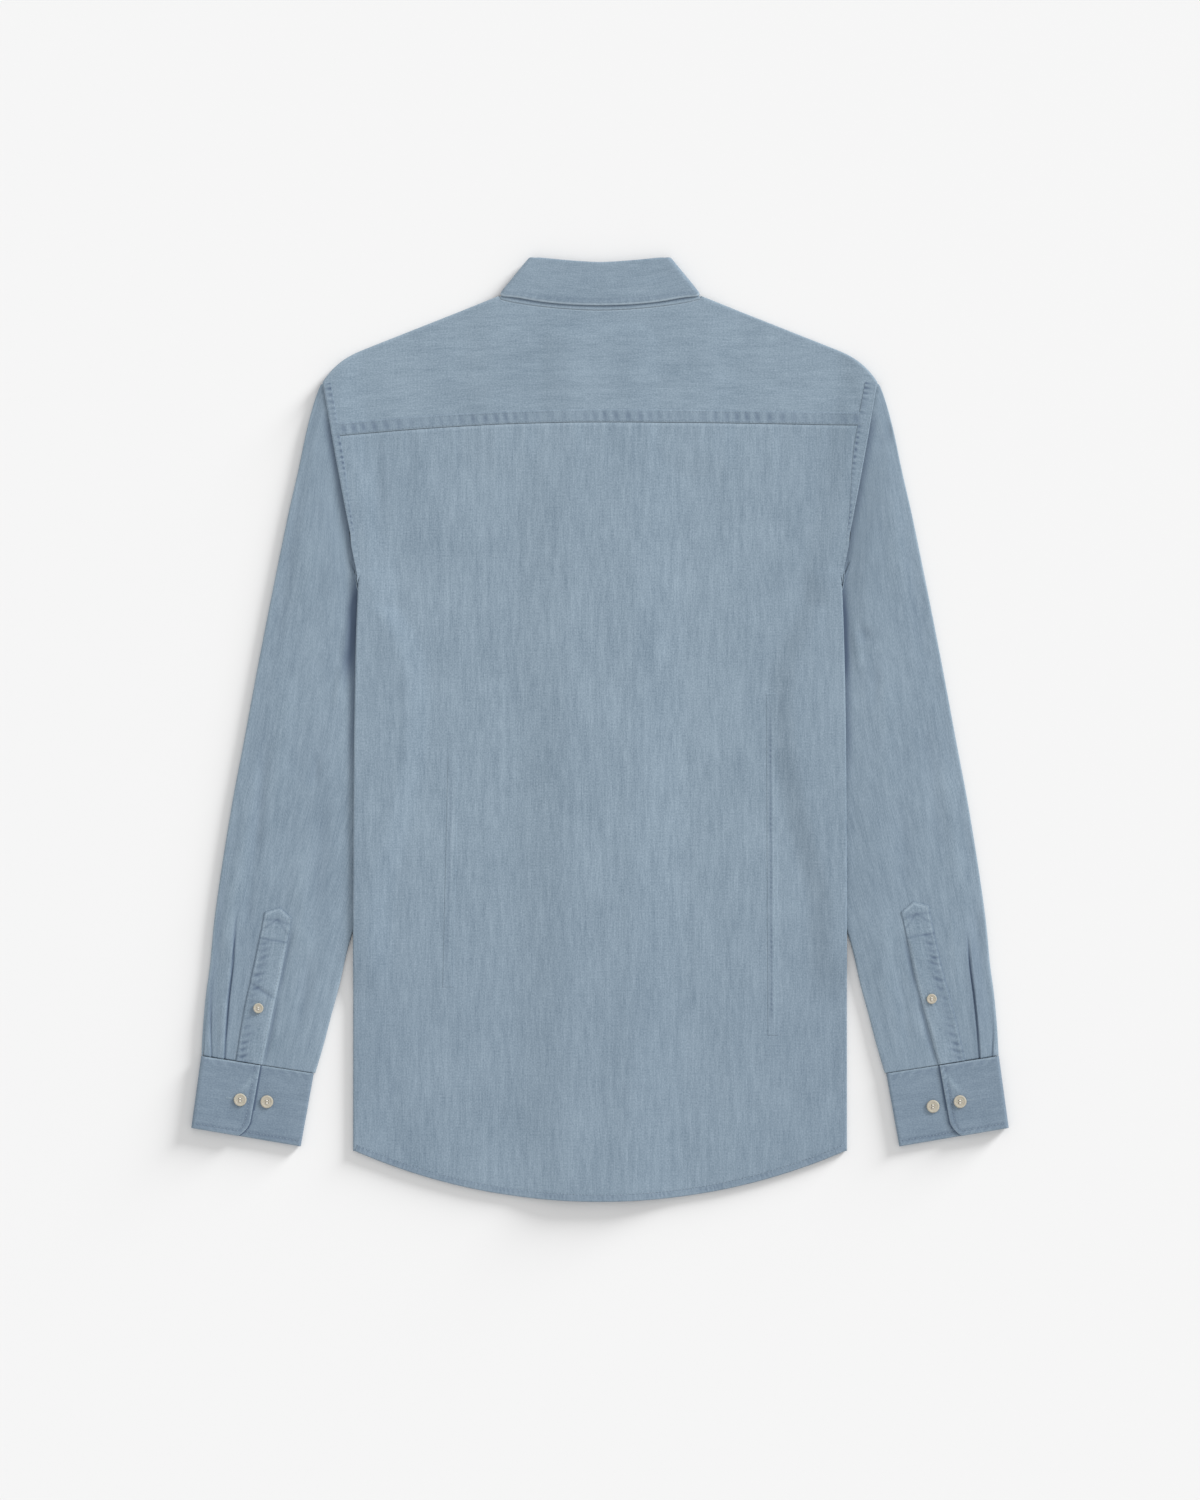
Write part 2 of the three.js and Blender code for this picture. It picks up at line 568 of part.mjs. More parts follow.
function sleevePoint(side, section, ring) {
  const long = Math.hypot(section.outerX - section.innerX, section.outerY - section.innerY);
  const along = [(section.outerX - section.innerX) / long, (section.outerY - section.innerY) / long];
  const half = CLOTH / 2;
  if (ring.fold) {
    const height = ring.fold === "inner" ? section.fold : section.outerHeight;
    const radius = height / 2;
    const away = ring.fold === "inner" ? -1 : 1;
    const angle = radians(ring.turn);
    const reach = (radius - half) * Math.sin(angle) - radius;
    const distance = ring.fold === "inner" ? -reach : long + reach;
    const out = [away * along[0] * Math.sin(angle), away * along[1] * Math.sin(angle), Math.cos(angle)];
    const z = section.bottom + radius + (radius - half) * Math.cos(angle);
    return { point: [...sleevePlan(section, distance), z], out };
  }
  const plan = sleevePlan(section, ring.share * long);
  if (!ring.upper) return { point: [...plan, section.bottom + half], out: [0, 0, -1] };
  const nearFold = Math.min(ring.share, 1 - ring.share) * long;
  const foldHeight = ring.share < 0.5 ? section.fold : section.outerHeight;
  const full = section.bottom > 0 ? SLEEVE.atArmhole : sleeveHeight(...plan);
  const height = mix(section.bottom + foldHeight, full, smooth(0, SLEEVE.roundWidth, nearFold));
  const proud = pleatHeight(side, ring.share, plan[1]);
  return { point: [...plan, height - half], out: [0, 0, 1], proud };
}

// Sleeves and cuffs are worked out for the right side; the left ones are turned over to it
const onSide = (side, { point, out, proud }) => {
  const way = side === "left" ? -1 : 1;
  return { point: [way * point[0], point[1], point[2]], out: [way * out[0], out[1], out[2]], proud };
};

function sleeve(side) {
  const stations = sleeveStations();
  const ring = sleeveRing(side);
  return wall(
    ring.length,
    stations.length,
    (i, j) => onSide(side, sleevePoint(side, stations[j], ring[i])),
    { ring: true },
  );
}

// The sleeve placket is made from the points of the sleeve's upper side, moved out
function sleevePlacket(side) {
  const { edges, inside, shoulder, tip } = SLEEVE_PLACKETS[side];
  const out = [0, 0, 1];
  const lifted = ([x, y, z]) => [x, y, z + CLOTH + SEAM_GAP];
  const pointed = [shoulder, mix(shoulder, tip, 0.55), tip, mix(shoulder, tip, 0.55), shoulder];
  return wall(5, edges.length + 1, (i, j) => {
    const { section, inner, outer } = edges[Math.min(j, edges.length - 1)];
    const share = i === 0 ? inner : i === 4 ? outer : inside[i - 1];
    const upper = { share, upper: true };
    const { point } = sleevePoint(side, { ...SLEEVE_SECTIONS[section], bottom: 0 }, upper);
    if (j < edges.length) return onSide(side, { point: lifted(point), out });
    const next = { ...SLEEVE_SECTIONS[section - 1], bottom: 0 };
    const { point: above } = sleevePoint(side, next, upper);
    const end = point.map((value, axis) => mix(above[axis], value, pointed[i]));
    return onSide(side, { point: lifted(end), out });
  });
}

// A cuff: one band from under its overlap, round the inner edge, flat on the table, round the
// outer edge and back over itself
function cuff(side) {
  const { wall: thick, underBottom, overBottom, underEnd, overEnd } = CUFF;
  const half = thick / 2;
  const underRadius = (underBottom + thick) / 2;
  const overRadius = (overBottom + thick) / 2;
  const long = Math.hypot(CUFF.outerTop[0] - CUFF.innerTop[0], CUFF.outerTop[1] - CUFF.innerTop[1]);
  const flat = (share, z, up) => () => ({ across: share * long, z, out: [0, up] });
  const fold = (away, radius, turn) => () => {
    const angle = radians(turn);
    const middle = radius - half;
    const reach = away * middle * Math.sin(angle);
    const centre = away < 0 ? radius : long - radius;
    const out = [away * Math.sin(angle), Math.cos(angle)];
    return { across: centre + reach, z: radius + middle * Math.cos(angle), out };
  };
  const path = [
    flat(underEnd, underBottom + half, 1),
    flat(0.5, underBottom + half, 1),
    flat(0.25, underBottom + half, 1),
    ...[0, 45, 90, 135, 180].map((turn) => fold(-1, underRadius, turn)),
    flat(0.33, half, -1),
    flat(0.66, half, -1),
    ...[180, 135, 90, 45, 0].map((turn) => fold(1, overRadius, turn)),
    flat(0.8, overBottom + half, 1),
    flat(0.64, overBottom + half, 1),
    (roundOff) => ({ across: (overEnd + roundOff) * long, z: overBottom + half, out: [0, 1] }),
  ];
  const direction = [
    (CUFF.outerTop[0] - CUFF.innerTop[0]) / long,
    (CUFF.outerTop[1] - CUFF.innerTop[1]) / long,
  ];
  return wall(
    path.length,
    CUFF_ROWS.length,
    (i, j) => {
      const { depth, roundOff } = CUFF_ROWS[j];
      const { across, z, out } = path[i](roundOff);
      const top = mixPoint(CUFF.innerTop, CUFF.outerTop, across / long);
      const bottom = mixPoint(CUFF.innerBottom, CUFF.outerBottom, across / long);
      return onSide(side, {
        point: [...mixPoint(top, bottom, depth), z],
        out: [direction[0] * out[0], direction[1] * out[0], out[1]],
      });
    },
    { thickness: thick },
  );
}

// The collar's stations for the whole ring, from the left front end to the right one
const mirrorPlan = ([x, y], side) => [side * x, y];
function collarRing(extra = []) {
  const half = (side) =>
    [...COLLAR_STATIONS, ...extra].map((station, index) => {
      const step = index - COLLAR_STATIONS.length + 1;
      const steps = side < 0 ? STAND_STEP.left : STAND_STEP.right;
      return {
        ...station,
        side,
        roll: mirrorPlan(station.roll, side),
        fall: station.fall && mirrorPlan(station.fall, side),
        neck: mirrorPlan(station.neck, side),
        lift: extra.length && step >= 0 ? steps[step] : 0,
      };
    });
  return [...half(-1).slice(1).reverse(), ...half(1)];
}

// The way out of the collar at a station: up at the back, sideways at the fold, down in front
const FOLD_WAY = (() => {
  const { roll, fall } = COLLAR_STATIONS.find(({ turn }) => turn === 90);
  const [dx, dy] = [fall[0] - roll[0], fall[1] - roll[1]];
  return [-dy / Math.hypot(dx, dy), dx / Math.hypot(dx, dy)];
})();
function collarOut({ turn, side }) {
  const angle = radians(turn);
  const sideways = Math.sin(angle);
  return [side * FOLD_WAY[0] * sideways, FOLD_WAY[1] * sideways, Math.cos(angle)];
}
const collarPoint = (plan, station, distance) => {
  const out = collarOut(station);
  const z = COLLAR.middle + (station.lift ?? 0);
  return [plan[0] + out[0] * distance, plan[1] + out[1] * distance, z + out[2] * distance];
};

function collarStand() {
  const ring = collarRing(STAND_ENDS);
  const shares = [0, 0.4, COLLAR.standTop];
  return wall(
    ring.length,
    shares.length,
    (i, j) => {
      const plan = mixPoint(ring[i].neck, ring[i].roll, shares[j]);
      return { point: collarPoint(plan, ring[i], COLLAR.standAt), out: collarOut(ring[i]) };
    },
    { thickness: COLLAR.standWall },
  );
}

// The leaf rises from the top of the stand, rolls over and falls to its edge
function collarLeaf() {
  const ring = collarRing();
  const { leafWall, fallAt, standAt, standTop, legGap } = COLLAR;
  const rollRadius = (fallAt - standAt) / 2;
  const rollTop = rollRadius + leafWall / 2;
  const section = [
    { part: "leg" },
    ...[-90, -45, 0, 45, 90].map((turn) => ({ part: "roll", turn })),
    ...[0.35, 0.7, 1].map((share) => ({ part: "fall", share })),
  ];
  return wall(
    ring.length,
    section.length,
    (i, j) => {
      const station = ring[i];
      const out = collarOut(station);
      const { roll, fall, neck } = station;
      const target = j === 0 ? neck : fall;
      const long = Math.hypot(target[0] - roll[0], target[1] - roll[1]);
      const down = [(target[0] - roll[0]) / long, (target[1] - roll[1]) / long];
      const along = (distance) => [roll[0] + down[0] * distance, roll[1] + down[1] * distance];
      const { part, turn, share } = section[j];
      if (part === "leg") {
        const plan = along(long * (1 - standTop) - legGap);
        return { point: collarPoint(plan, station, standAt), out: out.map((value) => -value) };
      }
      if (part === "fall") return { point: collarPoint(along(long * share), station, fallAt), out };
      const angle = radians(turn);
      const plan = along(rollTop - rollRadius * Math.cos(angle));
      const distance = (fallAt + standAt) / 2 + rollRadius * Math.sin(angle);
      const way = out.map((value) => value * Math.sin(angle));
      way[0] -= down[0] * Math.cos(angle);
      way[1] -= down[1] * Math.cos(angle);
      return { point: collarPoint(plan, station, distance), out: way };
    },
    { thickness: leafWall },
  );
}

// A button: a low disc with a rounded rim and a dished middle, on the z axis
function buttonGeometry(radius) {
  const { thick, sides } = BUTTON;
  const profile = [
    [0, 0],
    [radius * 0.82, 0],
    [radius, thick * 0.4],
    [radius * 0.94, thick * 0.85],
    [radius * 0.8, thick],
    [radius * 0.58, thick * 0.78],
    [0, thick * 0.78],
  ];
  return new THREE.LatheGeometry(profile.map(([x, y]) => new THREE.Vector2(x, y)), sides)
    .deleteAttribute("uv")
    .rotateX(Math.PI / 2);
}

const shirt = new THREE.Group();
function add(name, geometry, color, roughness = 0.92) {
  const material = new THREE.MeshStandardMaterial({ color, roughness, metalness: 0 });
  const mesh = new THREE.Mesh(geometry, material);
  mesh.name = name;
  shirt.add(mesh);
  return mesh;
}
function addButton(name, radius, x, y, z) {
  add(name, buttonGeometry(radius), COLOURS.button, 0.45).position.set(x, y, z);
}

add("body_back", bodyBack(), COLOURS.body);
add("yoke", yoke(), COLOURS.band);
add("front_left", front(-1), COLOURS.body);
add("front_right", front(1), COLOURS.body);
add("front_placket", frontPlacket(), COLOURS.band);
add("collar_stand", collarStand(), COLOURS.band);
add("collar_leaf", collarLeaf(), COLOURS.band);

for (const side of ["left", "right"]) {
  add(`sleeve_${side}`, sleeve(side), COLOURS.body);
  add(`sleeve_placket_${side}`, sleevePlacket(side), COLOURS.body);
  add(`cuff_${side}`, cuff(side), COLOURS.band);
}
for (const { name, x, y, under, radius } of SLEEVE_BUTTONS)
  addButton(name, radius, x, y, under + BUTTON.clearance);
for (let n = 0; n < FRONT_BUTTONS.count; n++)
  addButton(`front_button_${n + 1}`, BUTTON.large, 0, FRONT_BUTTONS.first - n * FRONT_BUTTONS.spacing, 0);
addButton("stand_button", BUTTON.large, 0, FRONT_BUTTONS.standY, 0);

export default shirt;
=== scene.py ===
import json

import bpy
import numpy as np
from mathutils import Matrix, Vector

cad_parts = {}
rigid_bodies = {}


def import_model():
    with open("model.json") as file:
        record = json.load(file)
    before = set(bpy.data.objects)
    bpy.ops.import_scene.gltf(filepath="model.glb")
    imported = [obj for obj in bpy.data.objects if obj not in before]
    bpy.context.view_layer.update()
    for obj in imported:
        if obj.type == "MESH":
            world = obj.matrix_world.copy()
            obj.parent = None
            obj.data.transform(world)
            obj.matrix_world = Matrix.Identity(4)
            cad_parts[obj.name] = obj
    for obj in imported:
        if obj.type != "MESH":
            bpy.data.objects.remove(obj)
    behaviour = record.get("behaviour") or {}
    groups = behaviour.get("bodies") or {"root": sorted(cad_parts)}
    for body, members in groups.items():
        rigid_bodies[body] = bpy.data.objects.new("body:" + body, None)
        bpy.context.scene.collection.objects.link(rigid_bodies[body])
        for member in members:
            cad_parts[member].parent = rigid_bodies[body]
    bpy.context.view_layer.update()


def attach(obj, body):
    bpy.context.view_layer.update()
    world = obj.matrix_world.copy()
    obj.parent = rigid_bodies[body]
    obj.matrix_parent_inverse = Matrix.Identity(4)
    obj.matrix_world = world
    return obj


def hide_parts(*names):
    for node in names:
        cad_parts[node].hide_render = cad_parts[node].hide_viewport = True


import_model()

# Front panels
# The two fronts lie lowest, with their outer faces on the table. Each is one cut of light
# chambray denim, joined to the back at the side seam, where it turns up in a soft quarter circle.

MM = 0.001  # sizes are in millimetres, meshes in metres
WORD = {-1: "left", 1: "right"}
CLOTH = 1.2
LOFT = 0.9
THIN = 0.55  # wall of the dressed cloth
BODY_TURN = 1.5
ARMPIT_X, ARMPIT_Y = 209.7, 134.4
TIP_X, TIP_Y = 241, 302.3
NECK_X, NECK_Y = 90.5, 375.8
HEM_LOW, HEM_RISE, HEM_HALF, HEM_POWER = -410.2, 44.4, 214.5, 2.1
HEM_CORNER = HEM_LOW + HEM_RISE
PLACKET_HALF = 16
FRONT_TOP = 277.3
# The fronts' top edge lies 25 mm below the shoulder line
FRONT_NECK_X, FRONT_TIP_X, FRONT_DROP = 86, 236.5, 25
# How a sleeve runs: its outer fold and its inner fold, and how high each fold is, right side
SLEEVE_TABLE = np.array([
    # outer x, outer y, inner x, inner y, outer height, inner height
    [241.7, 300.3, 210.6, 134.4, 3.0, 3.0],
    [247.6, 287.5, 211.4, 126.0, 3.2, 3.0],
    [255.0, 260.5, 207.5, 115.0, 3.5, 3.0],
    [262.3, 225.8, 195.0, 100.0, 3.6, 3.0],
    [270.5, 190.0, 183.0, 82.0, 3.6, 3.0],
    [279.3, 147.5, 174.0, 55.0, 3.6, 3.0],
    [289.8, 95.0, 171.5, 20.0, 3.6, 3.0],
    [300.0, 42.0, 174.5, -22.0, 3.6, 3.0],
    [310.0, -12.0, 183.0, -66.0, 3.6, 3.0],
    [319.5, -62.0, 194.0, -107.0, 3.6, 3.0],
    [328.5, -117.0, 207.0, -152.0, 3.6, 3.0],
    [335.4, -165.7, 218.4, -187.5, 3.6, 3.0],
    [339.0, -203.0, 226.5, -222.0, 3.6, 3.0],
    [342.7, -231.0, 233.5, -248.0, 3.7, 3.1],
    [345.2, -258.0, 240.3, -274.0, 4.0, 3.3],
    [346.6, -283.2, 247.6, -298.8, 4.1, 3.6],
])


def mix(a, b, share):
    return a + (b - a) * share


def smooth(start, end, value):
    """0 before start, 1 after end, and the cubic 3s^2 - 2s^3 of the share s between them."""
    share = np.clip((value - start) / (end - start), 0, 1)
    return share * share * (3 - 2 * share)


def bell(distance, width):
    return np.exp(-((distance / width) ** 2))


def armhole_x(y):
    """The armhole is a straight line from the armpit to the shoulder's tip, bowed out by 1.1 mm."""
    share = np.clip((y - ARMPIT_Y) / (TIP_Y - ARMPIT_Y), 0, 1)
    return mix(ARMPIT_X, TIP_X, share) + 4.4 * share * (1 - share)


def edge_x(y):
    """The side seam flares by 5 mm below the armpit; above it the edge is the armhole."""
    side = ARMPIT_X + 5 * (1 - np.exp(np.minimum(y - ARMPIT_Y, 0) / 90))
    return np.where(y < ARMPIT_Y, side, armhole_x(y))


def hem_y(x):
    return HEM_LOW + HEM_RISE * np.abs(x / HEM_HALF) ** HEM_POWER


def shoulder_y(x):
    """A straight slope from the neck point that rounds down over the last 41 mm."""
    round_off = np.maximum(0, (np.abs(x) - 200) / (TIP_X - 200))
    return NECK_Y - 0.3955 * (np.abs(x) - NECK_X) - 14 * round_off**3.2


def front_neck_y(x):
    return 290 + 61 * np.abs(x / FRONT_NECK_X) ** 2.4


def climb_share(x, y):
    """How far up the climb over the tucked sleeve the body is: 0 at 24 mm inside the line, 1 on it."""
    inner = SLEEVE_TABLE[::-1]
    line = np.minimum(np.interp(y, inner[:, 3], inner[:, 2], right=1e3) - 3, edge_x(y) - 12)
    return smooth(-24, 2, np.abs(x) - line)


def front_climb(y):
    return 4.3 * smooth(164, 124, y) * smooth(-240, -190, y)


def collar_lift(x, y):
    return 2.0 * smooth(124, 91, np.abs(x)) * smooth(215, 245, y)


def row_y(station, x, top, top_end):
    """A row's height: level on the side edge, drawn to the hem's curve below and the seam's above."""
    to_hem = smooth(-240, HEM_CORNER, station) * (hem_y(x) - HEM_CORNER)
    to_top = np.clip((station - ARMPIT_Y) / (top_end - ARMPIT_Y), 0, 1) * (top - top_end)
    return station + to_hem + to_top


def along_rows(x, y, rows):
    """Sum of soft ridges and troughs. Each row is a line with a width and a height: the height
    times a bell of the distance from the line, fading out over the line's last third."""
    total = np.zeros(np.broadcast(x, y).shape)
    for x0, y0, x1, y1, width, height in rows:
        dx, dy = x1 - x0, y1 - y0
        long = np.hypot(dx, dy)
        run = ((x - x0) * dx + (y - y0) * dy) / long**2
        away = ((x - x0) * dy - (y - y0) * dx) / long
        total = total + height * bell(away, width) * smooth(-0.12, 0.3, run) * smooth(1.12, 0.7, run)
    return total


def wander(x, y, size, seed):
    """A slow unevenness between about -1 and 1: four sines whose directions and phases are fixed."""
    turn = np.array([0.3, 1.4, 2.3, 2.9]) + seed
    waves = [
        np.sin((x * np.cos(a) + y * np.sin(a)) * 2 * np.pi / (size * (0.7 + 0.25 * k)) + 5.1 * a * seed)
        for k, a in enumerate(turn)
    ]
    return sum(waves) / 3


def grid_cells(index):
    """The four corners of every cell of a grid of point numbers, in turn round the cell."""
    return np.stack([index[:-1, :-1], index[1:, :-1], index[1:, 1:], index[:-1, 1:]], axis=-1)


def cloth_wall(name, outer, uv, wear_and_painted_light, material, thick=THIN, ring=False, turned_over=False, cloth=None):
    """A closed wall of cloth. The outer face is the given grid; the inner one is each point moved
    against the cross product of the grid's two directions by the thickness, or along it where the
    grid is turned over. Edges are closed."""
    across, along = outer.shape[:2]
    padded = np.concatenate([outer[-1:], outer, outer[:1]]) if ring else outer
    step = np.gradient(padded, axis=0)
    step = step[1:-1] if ring else step
    normal = np.cross(step, np.gradient(outer, axis=1))
    normal /= np.linalg.norm(normal, axis=2, keepdims=True) + 1e-9
    sign = -1 if turned_over else 1
    inner = outer - sign * np.broadcast_to(thick, (across, along))[..., None] * normal
    inner[..., 2] = np.maximum(inner[..., 2], 0.01)  # the table is at 0
    count = across * along
    index = np.arange(count).reshape(across, along)
    index = np.concatenate([index, index[:1]]) if ring else index
    cells = grid_cells(index)
    kept = np.ones(cells.shape[:2], bool) if cloth is None else cloth
    around = np.pad(kept, 1)
    if ring:
        around[0, 1:-1], around[-1, 1:-1] = kept[-1], kept[0]
    faces = [cells[kept], cells[kept][:, ::-1] + count]
    neighbours = [around[1:-1, :-2], around[2:, 1:-1], around[1:-1, 2:], around[:-2, 1:-1]]
    for corner, neighbour in enumerate(neighbours):
        rim = cells[kept & ~neighbour]
        start, end = rim[:, corner], rim[:, (corner + 1) % 4]
        faces.append(np.stack([end, start, start + count, end + count], axis=-1))
    quads = np.concatenate(faces)
    quads = quads[:, ::-1] if turned_over else quads
    used, compact = np.unique(quads, return_inverse=True)
    points = np.concatenate([outer.reshape(-1, 3), inner.reshape(-1, 3)])[used] * MM
    piece = mesh_piece(name, points, compact.reshape(-1, 4), material)
    flat = np.broadcast_to(uv, (across, along, 2)).reshape(-1, 2)[used % count] * MM
    piece.data.uv_layers.new(name="Cloth").data.foreach_set("uv", flat[compact.ravel()].ravel())
    # Per point: real wear and dye, and painted light and shade, mixed into the cloth's colour
    painted_light_and_wear = np.broadcast_to(wear_and_painted_light, (across, along)).reshape(-1)[used % count]
    piece.data.attributes.new("wear_and_painted_light", "FLOAT", "POINT").data.foreach_set("value", painted_light_and_wear.astype(np.float32))
    return piece


def mesh_piece(name, points, quads, material):
    """A smooth-shaded object at the origin from points in metres and faces of equal size."""
    size = quads.shape[1]
    mesh = bpy.data.meshes.new(name)
    mesh.vertices.add(len(points))
    mesh.vertices.foreach_set("co", np.ascontiguousarray(points, np.float32).ravel())
    mesh.loops.add(quads.size)
    mesh.loops.foreach_set("vertex_index", np.ascontiguousarray(quads, np.int32).ravel())
    mesh.polygons.add(len(quads))
    mesh.polygons.foreach_set("loop_start", np.arange(0, quads.size, size, dtype=np.int32))
    mesh.update(calc_edges=True)
    mesh.shade_smooth()
    mesh.materials.append(material)
    piece = bpy.data.objects.new(name, mesh)
    bpy.context.scene.collection.objects.link(piece)
    return piece


def new_material(name, roughness):
    material = bpy.data.materials.new(name)
    material.use_nodes = True
    nodes, links = material.node_tree.nodes, material.node_tree.links
    shader = nodes["Principled BSDF"]
    shader.inputs["Roughness"].default_value = roughness
    return material, nodes, links, shader


def blended(nodes, links, low, high, factor):
    """The colour between low and high at the factor; low is a colour or another node's output."""
    node = nodes.new("ShaderNodeMix")
    node.data_type = "RGBA"
    if isinstance(low, bpy.types.NodeSocket):
        links.new(low, node.inputs["A"])
    else:
        node.inputs["A"].default_value = (*low, 1)
    node.inputs["B"].default_value = (*high, 1)
    links.new(factor, node.inputs["Factor"])
    return node.outputs["Result"]


WASHED_BLUE = np.array([0.244, 0.318, 0.389])
DEEPER, PALER = np.array([0.70, 0.735, 0.765]), np.array([1.30, 1.265, 1.235])
# Pale for worn edges and ridges and for painted highlights; deep blue for dye in grooves and for painted
# shade
PALE_WEAR_AND_LIGHT, DEEP_BLUE_AND_SHADE = (0.50, 0.60, 0.68), (0.096, 0.136, 0.205)


def denim(name, streak_across, streak_along, streak):
    """Washed chambray: two blues mixed by long slub streaks along the cloth's own v, short ones
    across it, grain and slow clouds, then made paler on worn edges and ridges and by painted
    highlights, and deeper by dye in grooves and by painted shade, as the attribute says."""
    material, nodes, links, shader = new_material(name, 0.93)
    shader.inputs["Specular IOR Level"].default_value = 0.18
    shader.inputs["Sheen Weight"].default_value = 0.1
    shader.inputs["Sheen Roughness"].default_value = 0.6
    uv = nodes.new("ShaderNodeUVMap")
    uv.uv_map = "Cloth"
    place = nodes.new("ShaderNodeTexCoord")
    wear_and_painted_light = nodes.new("ShaderNodeAttribute")
    wear_and_painted_light.attribute_name = "wear_and_painted_light"

    def noise(source, scale, detail, offset):
        mapping = nodes.new("ShaderNodeMapping")
        mapping.inputs["Scale"].default_value = scale
        mapping.inputs["Location"].default_value = offset
        texture = nodes.new("ShaderNodeTexNoise")
        texture.inputs["Scale"].default_value = 1
        texture.inputs["Detail"].default_value = detail
        texture.inputs["Roughness"].default_value = 0.55
        links.new(source, mapping.inputs["Vector"])
        links.new(mapping.outputs["Vector"], texture.inputs["Vector"])
        return texture.outputs["Fac"]

    def math(operation, first, second):
        node = nodes.new("ShaderNodeMath")
        node.operation = operation
        for socket, value in zip(node.inputs, (first, second)):
            if isinstance(value, (int, float)):
                socket.default_value = value
            else:
                links.new(value, socket)
        return node.outputs["Value"]

    flat = uv.outputs["UV"]
    fine = noise(flat, (1 / streak_across, 1 / streak_along, 1), 3, (3, 1, 0))
    broad = noise(flat, (0.22 / streak_across, 0.3 / streak_along, 1), 2, (7, 5, 0))
    weft = noise(flat, (0.45 / streak_along, 1.1 / streak_across, 1), 2, (1, 9, 0))
    grain = noise(flat, (900, 620, 1), 2, (0, 0, 0))
    cloud = noise(place.outputs["Object"], (16, 11, 16), 3, (2, 2, 2))
    total = 0.5
    for fac, amount in ((fine, streak), (broad, streak * 0.75), (weft, 0.3), (grain, 1.5), (cloud, 0.6)):
        total = math("ADD", math("MULTIPLY", math("SUBTRACT", fac, 0.5), amount), total)
    painted_light_and_wear = wear_and_painted_light.outputs["Fac"]
    blue = blended(nodes, links, WASHED_BLUE * DEEPER, WASHED_BLUE * PALER, total)
    # Positive values mix in the pale of wear and painted highlights, negative ones the deep blue of dye and
    # painted shade
    blue = blended(nodes, links, blue, PALE_WEAR_AND_LIGHT, math("MULTIPLY", painted_light_and_wear, 0.62))
    blue = blended(nodes, links, blue, DEEP_BLUE_AND_SHADE, math("MULTIPLY", painted_light_and_wear, -0.6))
    links.new(blue, shader.inputs["Base Color"])
    bump = nodes.new("ShaderNodeBump")
    bump.inputs["Strength"].default_value = 0.16
    bump.inputs["Distance"].default_value = 0.0005
    links.new(math("ADD", fine, math("ADD", grain, weft)), bump.inputs["Height"])
    links.new(bump.outputs["Normal"], shader.inputs["Normal"])
    return material


body_denim = denim("body_denim", 0.0012, 0.015, 1.05)


def carry(piece):
    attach(piece, "root")


def dress(piece, node):
    """Rides the piece on the body and hides its solid."""
    carry(piece)
    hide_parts(node)


def front_panel(side):
    """Columns run from the button edge to the side, rows are the stations between hem and yoke."""
    start = PLACKET_HALF + 0.3 if side < 0 else -(PLACKET_HALF - 2)
    turn = np.radians([0, 30, 60, 90])
    share = np.concatenate([np.linspace(0, 1, 56)[:-1], np.ones(4)])[:, None]
    angle = np.concatenate([np.zeros(55), turn])[:, None]
    station = np.linspace(HEM_CORNER, FRONT_TOP, 110)[None, :]
    turning = smooth(146, ARMPIT_Y, station)
    edge = edge_x(station)
    flat_x = mix(start, edge - BODY_TURN, share)
    fold_share = (flat_x - NECK_X) / (TIP_X - BODY_TURN - NECK_X)
    shoulder = shoulder_y(np.maximum(flat_x, NECK_X)) - FRONT_DROP
    top = np.where(flat_x < NECK_X, front_neck_y(flat_x * FRONT_NECK_X / NECK_X), shoulder)
    top_x = np.where(flat_x < NECK_X, flat_x, mix(FRONT_NECK_X, FRONT_TIP_X, fold_share))
    y = row_y(station, flat_x, top - 0.4, FRONT_TOP)
    x = flat_x + BODY_TURN * mix(angle / (np.pi / 2), np.sin(angle), turning)
    x = mix(x, top_x, smooth(158, FRONT_TOP, station) * (flat_x >= NECK_X) * (share < 1))
    ramp_edges = [16, 38, 62] if side < 0 else [18, 38, 62]
    ramp = np.interp(flat_x, ramp_edges, [2.5, 1.2, 0] if side < 0 else [4.4, 2.2, 0])
    z = np.maximum(ramp, collar_lift(x, y)) + climb_share(x, y) * front_climb(station)
    z = z + BODY_TURN * (1 - np.cos(angle)) * turning
    outer = np.stack([side * x, y, z], axis=-1)
    outer = outer[::-1] if side < 0 else outer
    name = f"{WORD[side]}_front_cloth"
    return cloth_wall(name, outer, outer[..., :2], np.zeros(1), body_denim, turned_over=True)


for side, area in ((-1, 0.144), (1, 0.165)):
    dress(front_panel(side), f"front_{WORD[side]}")

# Front placket
# The buttonhole band is a strip of the same denim, folded double and stitched down the left
# front's edge. It lies lowest at the centre, above the buttons.

band_denim = denim("band_denim", 0.0013, 0.014, 0.8)


def front_band():
    across = np.linspace(-PLACKET_HALF, PLACKET_HALF, 12)[:, None]
    share = np.linspace(0, 1, 60)[None, :]
    y = mix(hem_y(across), 289.7, share)
    outer = np.stack(np.broadcast_arrays(across, y, 2.5), axis=-1)
    name = "front_placket_cloth"
    return cloth_wall(name, outer, outer[..., :2], np.zeros(1), band_denim, thick=1.5, turned_over=True)


dress(front_band(), "front_placket")

# Back panel
# One cut from the yoke seam to the curved hem, the largest piece in the photo. It lies over the
# fronts, climbs over the sleeves tucked under it, and has two long stitched darts.

YOKE_SEAM_Y, YOKE_LEFT_Y, YOKE_RIGHT_Y = 267, 254.5, 264.1
